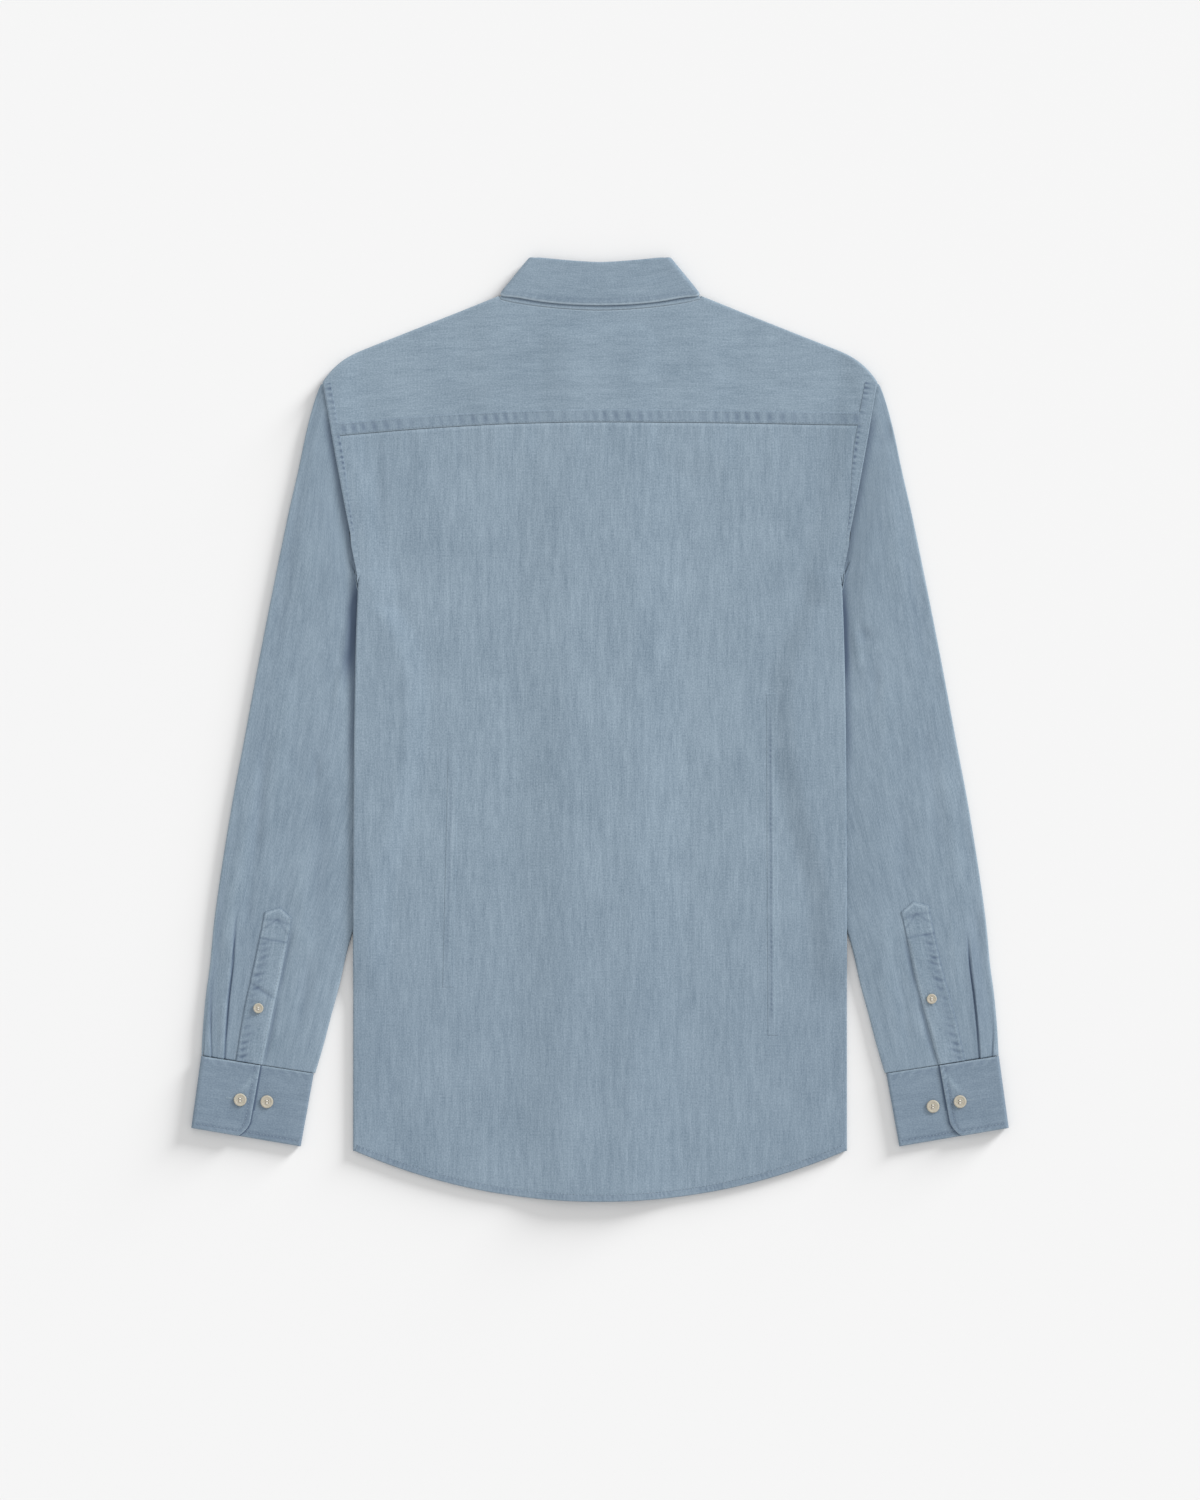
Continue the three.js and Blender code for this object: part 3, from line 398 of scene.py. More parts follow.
# Soft creases of the back: from x, y to x, y, then width and height
BACK_CREASES = [
    (-195, 258, -193, 92, 7, -0.55),
    (-182, 240, -186, 40, 9, 0.35),
    (199, 150, 197, 50, 7, -0.5),
    (188, 200, 184, 60, 9, 0.3),
    (-207, 60, -204, -160, 7, 0.4),
    (207, 40, 205, -150, 7, 0.4),
    (-120, -150, -128, -330, 16, 0.35),
    (-60, 180, -64, -20, 20, 0.25),
    (70, 120, 78, -100, 18, -0.25),
    (110, -230, 118, -370, 12, 0.3),
    (-175, -300, -186, -375, 9, -0.35),
    (30, -250, 22, -390, 14, 0.3),
    (-20, 60, -14, -160, 24, 0.2),
]
DARTS = {"left": (-128.8, -23, -133.5, -224, 0.45), "right": (147.9, 31.8, 149.2, -266, 0.8)}


def yoke_seam_y(x):
    end = np.where(x > 0, YOKE_RIGHT_Y, YOKE_LEFT_Y)
    return YOKE_SEAM_Y - (YOKE_SEAM_Y - end) * (x / 232.5) ** 2


def back_top(x, y):
    """Height of the back's upper face: over the button band, over the collar and over the sleeves."""
    hump = 4.0 * smooth(80, 22, np.abs(x)) * smooth(375, 335, y)
    climb = np.where(y > ARMPIT_Y, np.maximum(2.7, front_climb(y)), front_climb(y))
    lift = np.maximum(hump, collar_lift(x, y))
    return CLOTH + LOFT + CLOTH + lift + climb_share(x, y) * climb


def gathers(x, y):
    """Short upright wrinkles that the yoke seam draws into the back, dying away below it."""
    below = yoke_seam_y(x) - y
    waves = np.sin(x * 0.47 + 1.3 * np.sin(x * 0.061)) + np.sin(x * 0.29 + 2.1)
    waves = waves + 0.7 * np.sin(x * 0.83 + np.sin(x * 0.13))
    reach = 26 + 16 * np.sin(x * 0.05) * np.sin(x * 0.21 + 1)
    return 0.16 * waves * smooth(-1, 5, below) * np.exp(-np.maximum(below, 0) / reach)


def back_unevenness(x, y):
    """Its creases, gathers and slow waves, which die away at the panel's sides."""
    inside = smooth(2, 30, edge_x(y) - np.abs(x))
    creases = along_rows(x, y, BACK_CREASES) + gathers(x, y)
    return inside * (creases + 0.13 * wander(x, y, 120, 0.4) + 0.05 * wander(x, y, 34, 1.7))


def back_tone(x, y):
    """The back is a little darker towards its hem and its sides."""
    return -0.16 * smooth(-60, -260, y) - 0.09 * smooth(110, 190, np.abs(x))


def back_grid(columns, rows):
    """x and y of the back panel's grid, and how far each column has turned at the side seam."""
    turn = np.radians([22.5, 45, 67.5, 90])
    share = np.linspace(-1, 1, columns)
    share = share + 0.12 * np.sin(np.pi * share) * np.abs(share)
    share = np.concatenate([-np.ones(4), share, np.ones(4)])[:, None]
    angle = np.concatenate([-turn[::-1], np.zeros(columns), turn])[:, None]
    end = mix(YOKE_LEFT_Y, YOKE_RIGHT_Y, (share + 1) / 2) - 0.3
    station = mix(HEM_CORNER, end, np.linspace(0, 1, rows)[None, :])
    flat_x = share * (edge_x(station) - BODY_TURN)
    turning = smooth(146, ARMPIT_Y, station)
    x = flat_x + BODY_TURN * mix(angle / (np.pi / 2), np.sin(angle), turning)
    y = row_y(station, flat_x, yoke_seam_y(flat_x) - 0.3, end)
    return x, y, angle * turning


def back_face(x, y):
    return back_top(x, y) + back_unevenness(x, y)


def back_panel():
    x, y, angle = back_grid(170, 226)
    z = back_face(x, y) - BODY_TURN * (1 - np.cos(angle))
    # Darker towards hem and sides; the gathers painted paler on their ridges and darker in their troughs, as
    # light and shade; a pale line just under the yoke seam
    wear_and_painted_light = back_tone(x, y) + 0.2 * gathers(x, y) + 0.35 * bell(yoke_seam_y(x) - y - 1, 1)
    return cloth_wall("back_cloth", np.stack([x, y, z], axis=-1), np.stack([x, y], axis=-1), wear_and_painted_light, body_denim)


back = back_panel()

# Hem and armhole bands of the back
# The hem is turned twice and stitched; each armhole seam is felled flat onto the body. Washing
# has puckered both into small pale ridges and dark grooves between their two lines of stitches.


def pucker(run, pitch, seed):
    """0 to 1 along a seam: a raised cosine whose phase wanders, so that no two puckers are alike."""
    phase = 2 * np.pi * run / pitch
    phase = phase + 1.1 * np.sin(run / pitch * 0.9 + seed) + 0.8 * np.sin(run / pitch * 0.37 + 2 * seed)
    strength = 0.65 + 0.35 * np.sin(run / pitch * 0.53 + 3 * seed)
    return strength * (0.5 + 0.5 * np.cos(phase)) ** 1.4


def run_along(line):
    """The distance of each point of a line from its first, along the line."""
    return np.concatenate([[0], np.cumsum(np.linalg.norm(np.diff(line, axis=0), axis=1))])


NEEDLE_PITCH = 4.4


def seam_band(name, path, side, material, face, looks, strength=1.0, narrow=1.0):
    """A raised strip beside an edge. path is points of the edge, and the panel is on its left (side
    1) or right (side -1). Its dents are one to a pitch, bell-shaped across about their lane, and
    deep blue inside; a line of needle dents runs near its far side."""
    way = np.gradient(path, axis=0)
    way /= np.linalg.norm(way, axis=1, keepdims=True)
    run = run_along(path)[:, None]
    across = np.linspace(0, 1, 13)[None, :]
    width = looks["width"] * narrow
    x = path[:, :1] - side * way[:, 1:] * width * across
    y = path[:, 1:] + side * way[:, :1] * width * across
    dent = pucker(run + looks["slant"] * across, looks["pitch"], looks["seed"])
    dent = dent * bell(across - looks["lane"], looks["spread"]) * strength
    shoulder = smooth(0, 0.1, across) * smooth(1, 0.88, across)
    z = face(x, y) + 0.03 + looks["height"] * shoulder * strength - looks["depth"] * dent
    needle_dents = bell(across - 0.85, 0.08) * np.clip(0.3 + np.sin(run * 2 * np.pi / NEEDLE_PITCH), 0, 1)
    wear_and_painted_light = strength * (looks["edge"] * smooth(0.13, 0, across) - looks["line"] * needle_dents)
    wear_and_painted_light = wear_and_painted_light - looks["dark"] * dent + looks["tone"] + back_tone(x, y)
    outer = np.stack([x, y, z], axis=-1)
    uv = np.stack(np.broadcast_arrays(run + 0 * across, width * across + 0 * run), axis=-1)
    return cloth_wall(name, outer, uv, wear_and_painted_light, material, thick=0.35, turned_over=side < 0)


hem_x = np.linspace(-213, 213, 460)
hem_path = np.stack([hem_x, hem_y(hem_x) + 0.15], axis=-1)
HEM_LOOKS = dict(width=5.6, pitch=3.9, seed=0.7, slant=1.5, lane=0.55, spread=0.36, height=0.35, depth=0.25,
                 dark=0.75, edge=0.3, line=0.3, tone=-0.08)
ARMHOLE_LOOKS = dict(width=11.0, pitch=5.4, seed=1.9, slant=0.8, lane=0.8, spread=0.13, height=0.35,
                     depth=0.3, dark=1.5, edge=0.0, line=0.35, tone=0.0)
hem_strength = 0.7 + 0.3 * np.cos((hem_x[:, None] + 60) / 150 * np.pi) ** 2
hem_fold = seam_band("hem_fold", hem_path, 1, body_denim, back_face, HEM_LOOKS, hem_strength)
armhole_bands = []
BAND_END = ARMPIT_Y - 9
band_y = np.linspace(BAND_END, 300, 210)
over_gap = 1.3 * smooth(172, 158, band_y) * smooth(BAND_END, BAND_END + 5, band_y)
tapered = mix(0.06, 1, smooth(BAND_END, BAND_END + 15, band_y))
fading = smooth(158, 186, band_y)[:, None]
for side, word in WORD.items():
    band_path = np.stack([side * (edge_x(band_y) - 0.1 + over_gap), band_y], axis=-1)
    low, high = (0.35, 0.65) if side < 0 else (0.24, 1)
    narrow = (tapered * mix(low, high, smooth(165, 250, band_y)))[:, None]
    spread = mix(ARMHOLE_LOOKS["spread"], 0.34, smooth(256, 270, band_y))[:, None] / narrow
    looks = {**ARMHOLE_LOOKS, "seed": 1.9 + side, "spread": spread}
    armhole_bands.append(seam_band(
        f"armhole_band_{word}", band_path, side, body_denim, back_face, looks, fading, narrow,
    ))


def dart_strip(word):
    """The pressed line of a dart: a low, narrow welt with a row of needle dents along it."""
    x0, y0, x1, y1, strength = DARTS[word]
    y = np.linspace(y0, y1, 320)[:, None]
    away = np.linspace(-3.5, 6, 15)[None, :]
    x = mix(x0, x1, (y - y0) / (y1 - y0)) + away
    inside = strength * smooth(y1, y1 + 30, y) * smooth(y0, y0 - 30, y)
    dents = bell(away, 1) * (0.35 + 0.65 * pucker(y + 0.3 * away, 4.6, 0.6 + strength))
    z = back_face(x, y) + 0.04 + inside * (0.4 * bell(away - 0.8, 2.2) - 0.3 * dents)
    wear_and_painted_light = inside * (0.25 * bell(away - 2.4, 1.4) - 1.5 * dents) + back_tone(x, y)
    outer = np.stack([x, y + 0 * away, z], axis=-1)
    return cloth_wall(f"{word}_dart", outer, outer[..., :2], wear_and_painted_light, body_denim, thick=0.3)


sewn_on_back = [hem_fold, *armhole_bands, dart_strip("left"), dart_strip("right")]
for band in sewn_on_back:
    carry(band)
dress(back, "body_back")

# Yoke
# A shaped piece across the shoulders, cut across the cloth so that its streaks run sideways. It
# folds over the shoulder line, and 25 mm of it lies on the front side.

YOKE_CREASES = [
    (-170, 300, 40, 306, 9, 0.25),
    (40, 322, 190, 296, 8, -0.25),
    (-60, 345, -150, 318, 7, 0.22),
    (-215, 300, -226, 268, 6, -0.4),
    (214, 306, 226, 272, 6, -0.4),
]
NECK_EDGE = 87.2  # where the fold ends, against the side of the collar
SEAM_TURN, SEAM_END = 122, 232.4  # beyond the first the fold's x is drawn in, to the second


def yoke_cloth():
    """Rows go up the flat back, round the shoulder fold in half a turn, and down the front."""
    neck = np.linspace(0, NECK_EDGE, 36)
    shoulder = NECK_EDGE + (TIP_X - NECK_EDGE) * np.linspace(0, 1, 74)[1:] ** 0.85
    half = np.concatenate([neck, shoulder])
    fold_x = np.concatenate([-half[::-1], half[1:]])[:, None]
    beyond = np.maximum(np.abs(fold_x) - SEAM_TURN, 0) * (SEAM_END - SEAM_TURN) / (TIP_X - SEAM_TURN)
    seam_x = np.sign(fold_x) * (np.minimum(np.abs(fold_x), SEAM_TURN) + beyond)
    in_neck = np.abs(fold_x) < NECK_EDGE - 1e-6
    floor = collar_lift(fold_x, shoulder_y(fold_x))
    radius = (back_top(fold_x, shoulder_y(fold_x)) - floor) / 2
    fold_y = np.where(in_neck, 365 + 10.2 * (fold_x / NECK_X) ** 2, shoulder_y(fold_x) - radius)
    share = np.linspace(0, 1, 46)[None, :]
    seam_y = yoke_seam_y(seam_x)
    flat_y = mix(seam_y, fold_y, share)
    flat_x = mix(seam_x, fold_x, share)
    uneven = along_rows(flat_x, flat_y, YOKE_CREASES) + 0.15 * wander(flat_x, flat_y, 90, 2.2)
    uneven = uneven * smooth(0, 12, flat_y - seam_y) * smooth(1, 0.9, share)
    flat_z = back_top(flat_x, flat_y) + uneven
    angle = np.radians(np.linspace(0, 180, 11)[1:])[None, :]
    turn_x = fold_x + 0 * angle
    turn_y = fold_y + radius * np.sin(angle)
    turn_z = floor + radius + radius * np.cos(angle)
    down = np.linspace(0, 1, 12)[None, 1:]
    front_share = (np.abs(fold_x) - NECK_X) / (TIP_X - NECK_X)
    front_x = np.sign(fold_x) * mix(FRONT_NECK_X, FRONT_TIP_X, front_share)
    front_y = shoulder_y(fold_x) - FRONT_DROP
    down_x = mix(fold_x, front_x, down)
    down_y = mix(fold_y, front_y, down)
    down_z = floor + 0 * down
    outer = np.stack([
        np.concatenate([flat_x, turn_x, down_x], axis=1),
        np.concatenate([flat_y, turn_y, down_y], axis=1),
        np.concatenate([flat_z, turn_z, down_z], axis=1),
    ], axis=-1)
    steps = np.linalg.norm(np.diff(outer, axis=1), axis=2)
    run = np.concatenate([0 * fold_x, np.cumsum(steps, axis=1)], axis=1)
    uv = np.stack([run, outer[..., 0]], axis=-1)
    columns, rows = outer.shape[:2]
    neck_cell = (in_neck[:-1] | in_neck[1:]) & (np.arange(rows - 1)[None, :] >= share.shape[1] - 1)
    wear_and_painted_light = np.zeros((columns, rows))
    wear_and_painted_light[:, share.shape[1] - 1:share.shape[1] + 4] = 0.15
    wear_and_painted_light[:, :share.shape[1]] += 0.7 * smooth(0.975, 1, share) * in_neck
    return cloth_wall("yoke_cloth", outer, uv, wear_and_painted_light, band_denim, cloth=~neck_cell)


yoke = yoke_cloth()


def yoke_face(x, y):
    return back_top(x, y) + 0.1


seam_x = np.linspace(-231.5, 231.5, 420)
seam_path = np.stack([seam_x, yoke_seam_y(seam_x) + 0.1], axis=-1)
YOKE_LOOKS = dict(width=11, pitch=9.5, seed=4.2, slant=2.0, lane=0.5, spread=0.42, height=0.2, depth=0.14,
                  dark=0.95, edge=0.45, line=0.15, tone=-0.05)
yoke_band = seam_band("yoke_seam_band", seam_path, 1, band_denim, yoke_face, YOKE_LOOKS)
carry(yoke_band)
dress(yoke, "yoke")

# Sleeves
# Each sleeve is one cut, closed along the underarm into a tube. It lies flat with its top under
# the edge of the body, and two pleats take up its width at the cuff.

SLEEVE_TOP, UNDER_BODY, AT_ARMHOLE, AT_CUFF = 4.8, 3.9, 4.5, 4.2
TUCK, TUCK_BOTTOM = 6.0, 1.5
# Pleats and creases of each sleeve; creases are from x, y to x, y, then width and height.
# Shades are rows of painted shade in the same form, with a strength in place of the height.
SLEEVE_LOOKS = {
    -1: {
        "pleats": [(0.805, -150, 1.2, 0.1, 0.05), (0.92, -215, 0.8, 0.05, 0.06)],
        "shades": [
            (213, 128, 221, 40, 5.0, -1.3), (300, -150, 308, -275, 9, -0.2), (330, -110, 342, -262, 6, -0.35),
        ],
        "box": 11.18,
        "placket_creases": [(306, -219, 281, -235, 1.7, -1)],
        # Troughs beside the placket's free edge, painted dark as shade
        "beside_placket": [(267.5, -172, 279.5, -232), (279.5, -232, 291.5, -291)],
        "creases": [
            (290, -9, 302, -129, 5, -0.8), (302, -129, 306, -170, 5, -0.5), (246, -22, 248, -49, 4, -0.5),
            (216, 100, 223, 60, 4, 0.8), (223, 60, 229, 22, 4, 0.7), (262, 210, 284, 60, 7, -0.4),
            (247, 190, 262, 90, 9, 0.4), (270, 40, 282, -60, 8, 0.45), (240, -60, 246, -150, 8, -0.45),
            (318, -120, 326, -200, 6, 0.5), (262, -110, 258, -200, 8, 0.4), (252, -200, 262, -262, 6, -0.5),
            (327, -232, 329, -284, 3.2, 0.5), (305, -60, 318, -150, 6, 0.4),
        ],
    },
    1: {
        "pleats": [(0.84, -170, 1.2, 0.1, 0.02), (0.95, -240, 0.7, 0.03, 0.04)],
        "shades": [(212, 120, 214, 40, 3.5, -0.9), (322, -170, 334, -270, 7, -0.3)],
        "box": 11.05,
        "placket_creases": [(262, -158, 284, -170, 1.7, -0.3)],
        "beside_placket": [(264.5, -181, 275, -228), (275, -228, 292.5, -292)],
        "creases": [
            (257, 266, 241, 244, 5, -0.6), (230, 88, 229, 76, 5, -0.6), (239, 56, 240, 20, 5, -0.5),
            (250, 210, 262, 120, 8, 0.45), (266, 170, 284, 40, 7, -0.4), (244, 60, 250, -60, 8, 0.4),
            (282, 10, 296, -110, 8, -0.45), (300, -20, 312, -140, 7, 0.4), (262, -60, 266, -150, 8, -0.4),
            (246, -150, 252, -250, 7, 0.4), (303, -160, 312, -250, 5, 0.35), (325, -150, 333, -230, 5, -0.4),
            (262, -210, 268, -280, 5, -0.35), (222, 90, 226, 50, 5, 0.6),
        ],
    },
}


def through(table, at):
    """A curve through the table's rows: the Catmull-Rom cubic of the two rows on either side."""
    last = len(table) - 1
    index = np.clip(np.floor(at).astype(int), 0, last - 1)
    share = (at - index)[..., None]
    before, start = table[np.maximum(index - 1, 0)], table[index]
    end, after = table[index + 1], table[np.minimum(index + 2, last)]
    return 0.5 * (2 * start + (end - before) * share + (2 * before - 5 * start + 4 * end - after) * share**2
                  + (3 * start - before - 3 * end + after) * share**3)


def sleeve_height(x, y):
    """Height of the upper side: low where the body lies on it, low again at the cuff."""
    free = smooth(0, 30, x - edge_x(y))
    covered = mix(UNDER_BODY, AT_ARMHOLE, smooth(130, 160, y))
    return mix(covered, SLEEVE_TOP, free) - (SLEEVE_TOP - AT_CUFF) * smooth(-235, -283, y)


def pleat_form(share, y, pleats):
    """Height and painted shade. Beyond its fold a pleat stands proud, dying away over its reach; before
    the fold is a narrow trench, deepest some way above the cuff, painted dark as shade and fading out
    before the fold. A fold leans out towards its top."""
    height, painted_light_and_wear = 0, 0
    for at, start, rise, reach, lean in pleats:
        beyond = share - at - lean * (y + 283) / (start + 283)
        down = smooth(start, start - 45, y)
        trench = bell(beyond + 0.009, 0.0065) * down * (1 - 0.45 * smooth(-240, -283, y))
        step = smooth(-0.005, 0.004, beyond) * np.clip(1 - beyond / reach, 0, 1) * down
        soft = np.exp(-np.abs(beyond) / 0.03) * (beyond < 0) * down
        height = height + rise * step - 1.0 * rise * trench
        # Painted shade in the trench and before the fold
        painted_light_and_wear = painted_light_and_wear - 1.5 * rise * trench - 0.3 * rise * soft
    return height, painted_light_and_wear


def beside_body(x, y):
    """How far the sleeve sinks along the body's edge: most at the underarm, little at the shoulder."""
    depth = 0.5 + 1.5 * smooth(240, 190, y) * smooth(20, 80, y)
    return depth * smooth(22, 1, x - edge_x(y)) * smooth(-190, -120, y) * smooth(275, 250, y)


def sleeve_place(at, offset, share):
    """A point in plan: the share of the way across section number at, and past the armhole line
    for the first section, whose ends are moved square to the line by the offset."""
    row = through(SLEEVE_TABLE, at)
    outer_x, outer_y, inner_x, inner_y = (row[..., k] for k in range(4))
    dx, dy = outer_x - inner_x, outer_y - inner_y
    long = np.hypot(dx, dy)
    x, y = inner_x + dx * share, inner_y + dy * share
    line = mix(ARMPIT_X, TIP_X, np.clip((y - ARMPIT_Y) / (TIP_Y - ARMPIT_Y), 0, 1))
    bow = (armhole_x(y) - line) * smooth(1, 0, at)
    tucked = np.where(offset < 0, mix(0.3 + 0.02 * offset, offset, smooth(165, 200, y)), offset)
    return x + bow + dy / long * tucked, y - dx / long * tucked, long, row


def sleeve_face(at, offset, share, looks):
    """The upper side of a sleeve at shares of its width: plan, height, and wear with painted light and shade.
    """
    x, y, long, row = sleeve_place(at, offset, share)
    bottom = TUCK_BOTTOM * smooth(1, 0, at)
    full = mix(AT_ARMHOLE, sleeve_height(x, y), smooth(0, 1.2, at))
    near = np.minimum(share, 1 - share) * long
    fold = bottom + np.where(share < 0.5, row[..., 5], row[..., 4])
    height = mix(fold, full, smooth(0, 22, near))
    inside = smooth(0, 8, near) * smooth(0.2, 1.4, at) * smooth(-2, 10, x - edge_x(y))
    creases = along_rows(x, y, looks["creases"]) + 0.16 * wander(x, y, 70, 3.1) + 0.08 * wander(x, y, 26, 0.9)
    calm = 1 - 0.8 * smooth(0.38, 0.43, share) * smooth(0.76, 0.7, share) * smooth(-140, -165, y)
    folded, wear_and_painted_light = pleat_form(share, y, looks["pleats"])
    height = height + 1.6 * inside * calm * creases * smooth(-296, -275, y) + folded - beside_body(x, y)
    height = height + along_rows(x, y, [(*line, 2.2, -0.6) for line in looks["beside_placket"]])
    # Painted shade in the trough beside the placket's edge
    wear_and_painted_light = wear_and_painted_light + along_rows(x, y, [(*line, 1.5, -0.8) for line in looks["beside_placket"]])
    # Painted shade on the sleeve along the body's edge
    painted_body_shade = smooth(8, 0.5, x - edge_x(y)) * smooth(-60, 0, y) * smooth(280, 262, y)
    # The shade rows are painted shade; the creases are painted paler on their ridges and darker in their
    # troughs; the whole sleeve is a little darker
    wear_and_painted_light = wear_and_painted_light + along_rows(x, y, looks["shades"]) + 0.3 * inside * calm * creases - 0.85 * painted_body_shade - 0.16
    return x, y, height, wear_and_painted_light


def sleeve_cloth(side):
    """The tube: round the inner fold, over the top, round the outer fold and back on the table."""
    looks = SLEEVE_LOOKS[side]
    at = np.concatenate([np.zeros(5), np.linspace(0, 15, 206)[1:]])[None, :]
    offset = np.concatenate([np.linspace(-TUCK, 0.8, 5), 0.8 * smooth(1, 0, at[0, 5:])])[None, :]
    upper = np.linspace(0, 1, 102)[1:-1]
    beside = np.array([-0.012, -0.005, 0.0, 0.005, 0.012])
    near_pleats = np.concatenate([pleat[0] + beside for pleat in looks["pleats"]])
    upper = np.sort(np.concatenate([upper, near_pleats]))
    upper = upper[(upper > 0.03) & (upper < 0.985)]
    bottom = TUCK_BOTTOM * smooth(1, 0, at)

    def fold(kind, degrees):
        *_, long, row = sleeve_place(at, offset, 0.5)
        radius = row[..., 5 if kind < 0 else 4] / 2
        angle = np.radians(degrees)
        reach = radius * (1 - np.sin(angle)) / long
        share = reach if kind < 0 else 1 - reach
        x, y, *_ = sleeve_place(at, offset, share)
        return x, y, bottom + radius * (1 + np.cos(angle)), 0.2 * np.sin(angle) + 0 * x

    columns = [fold(-1, degrees) for degrees in (180, 150, 120, 90, 60, 30, 0)]
    columns += [sleeve_face(at, offset, share, looks) for share in upper]
    columns += [fold(1, degrees) for degrees in (0, 30, 60, 90, 120, 150, 180)]
    for share in np.linspace(0.95, 0.05, 14):
        x, y, *_ = sleeve_place(at, offset, share)
        columns.append((x, y, bottom + 0 * x, 0 * x))
    x, y, z, wear_and_painted_light = (np.concatenate([column[k] for column in columns], axis=0) for k in range(4))
    outer = np.stack([side * x, y, z], axis=-1)
    steps = np.linalg.norm(np.diff(outer, axis=1), axis=2)
    run = np.concatenate([np.zeros((len(outer), 1)), np.cumsum(steps, axis=1)], axis=1)
    girth = np.linalg.norm(np.diff(outer, axis=0), axis=2).mean(axis=1)
    round_run = np.concatenate([[0], np.cumsum(girth)])[:, None]
    uv = np.stack(np.broadcast_arrays(round_run, run), axis=-1)
    name = f"{WORD[side]}_sleeve_cloth"
    return cloth_wall(name, outer, uv, wear_and_painted_light, body_denim, ring=True, turned_over=side > 0)


for side, word in WORD.items():
    dress(sleeve_cloth(side), f"sleeve_{word}")

# Sleeve plackets
# A pointed strip closes the slit above each cuff. It is cut on its own, its edges are turned in,
# and it is stitched round its edge and across its top in a box with a cross.

# Edges as shares of the sleeve's width at each section from the cuff up
PLACKET_EDGES = {
    -1: [(15, 0.463, 0.695), (14, 0.459, 0.690), (13, 0.454, 0.680), (12, 0.452, 0.670), (11, 0.444, 0.648)],
    1: [(15, 0.472, 0.708), (14, 0.450, 0.684), (13, 0.430, 0.658), (12, 0.418, 0.637), (11, 0.407, 0.610)],
}
# Sections at which its shoulders and its tip lie
PLACKET_TIP = {-1: (10.65, 10.48), 1: (10.49, 10.336)}
PLACKET_WIDE = 22.5


def placket_share(side, at, across):
    rows = np.array(PLACKET_EDGES[side])[::-1]
    return mix(np.interp(at, rows[:, 0], rows[:, 1]), np.interp(at, rows[:, 0], rows[:, 2]), across)


def sleeve_placket(side):
    """Rows run down from a pointed end; each row is moved out from the sleeve's upper side. The
    puckers lie along its outer half, below the line stitched across it."""
    looks, (shoulder, tip) = SLEEVE_LOOKS[side], PLACKET_TIP[side]
    across = np.linspace(0, 1, 27)[:, None]
    down = np.linspace(0, 1, 170)[None, :]
    start = mix(shoulder, tip, 1 - np.abs(2 * across - 1))
    at = mix(start, 14.98, down)
    x, y, z, _ = sleeve_face(at, np.zeros_like(at), placket_share(side, at, across), looks)
    below, past_box = (at - start) * 40, (at - looks["box"]) * 36
    free_edge, sewn_edge = across * PLACKET_WIDE, (1 - across) * PLACKET_WIDE
    rim = np.minimum(np.minimum(free_edge, sewn_edge), below)
    in_point = smooth(1, -1, past_box)
    free = smooth(0, 1.4, free_edge) * (1 - in_point)
    patchy = np.clip(0.75 + 0.5 * wander(x, y, 13, 1.3 + side), 0, 1.1)
    dents = pucker(y + 1.2 * np.sin(across * 9), 6.6, 0.8 + side) * patchy * (1 - in_point)
    dents = dents * bell(sewn_edge - 5, 4.5)
    box = bell(past_box - 0.5, 0.9)
    edging = bell(rim - 2, 0.8)
    vee = bell(below - 6 - 9 * across, 1.3) + bell(below - 6 - 9 * (1 - across), 1.3)
    crease = along_rows(x, y, looks["placket_creases"])
    lift = 0.55 + 0.4 * smooth(0, 2.2, rim) + 0.5 * free * smooth(PLACKET_WIDE, 4, free_edge)
    lift = lift - 0.35 * dents - 0.25 * edging * (0.4 + 0.6 * in_point) - 0.25 * box - 0.12 * vee * in_point
    lift = lift + 0.14 * wander(x, y, 15, 2.5 + side) + 0.4 * crease
    wear_and_painted_light = 0.35 * smooth(1.2, 0.4, free_edge) * (1 - in_point)
    wear_and_painted_light = wear_and_painted_light - 0.5 * smooth(1.1, 0.4, np.minimum(sewn_edge, below))
    # Dye in the puckers and in the stitched box and vee, pale worn edging, and painted shade in the crease
    wear_and_painted_light = wear_and_painted_light - 1.2 * dents + 0.5 * edging - 0.8 * box - 0.6 * vee * in_point + 0.7 * crease
    wear_and_painted_light = wear_and_painted_light - 0.12 - 0.2 * (1 - in_point) * smooth(12, 6, sewn_edge)
    outer = np.stack([side * x, y, z + lift], axis=-1)
    uv = np.stack(np.broadcast_arrays(free_edge, -y), axis=-1)
    name = f"{WORD[side]}_placket_cloth"
    return cloth_wall(name, outer, uv, wear_and_painted_light, body_denim, thick=1.1, turned_over=side > 0)


for side, word in WORD.items():
    node, lies_on = f"sleeve_placket_{word}", [f"{word}_sleeve_cloth"]
    dress(sleeve_placket(side), node)

# Cuffs
# A cuff is a double band with a soft interlining, sewn to the pleated sleeve. Its rounded end
# laps over the other, and it is stitched 5 mm inside its edges.

CUFF_WALL, UNDER_BOTTOM, OVER_BOTTOM = 1.8, 2.4, 4.5
CUFF_INNER_TOP, CUFF_OUTER_TOP = np.array([248.8, -299.0]), np.array([346.7, -283.6])
CUFF_INNER_LOW, CUFF_OUTER_LOW = np.array([260.2, -362.4]), np.array([355.3, -346.1])
CUFF_WIDE = float(np.hypot(*(CUFF_OUTER_TOP - CUFF_INNER_TOP)))
CUFF_DEEP = 63.8
CUFF_STITCH_IN = 4.6
UNDER_TOP, OVER_TOP = UNDER_BOTTOM + CUFF_WALL, OVER_BOTTOM + CUFF_WALL
UNDER_COLUMNS, OVER_COLUMNS = 60, 64
CUFF_WRINKLES = [(313, -316, 295, -295, 2.4, 1), (300, -286, 322, -292, 2, -0.4)]
HALF_TURN = (0, 22, 45, 68, 90, 112, 135, 158, 180)


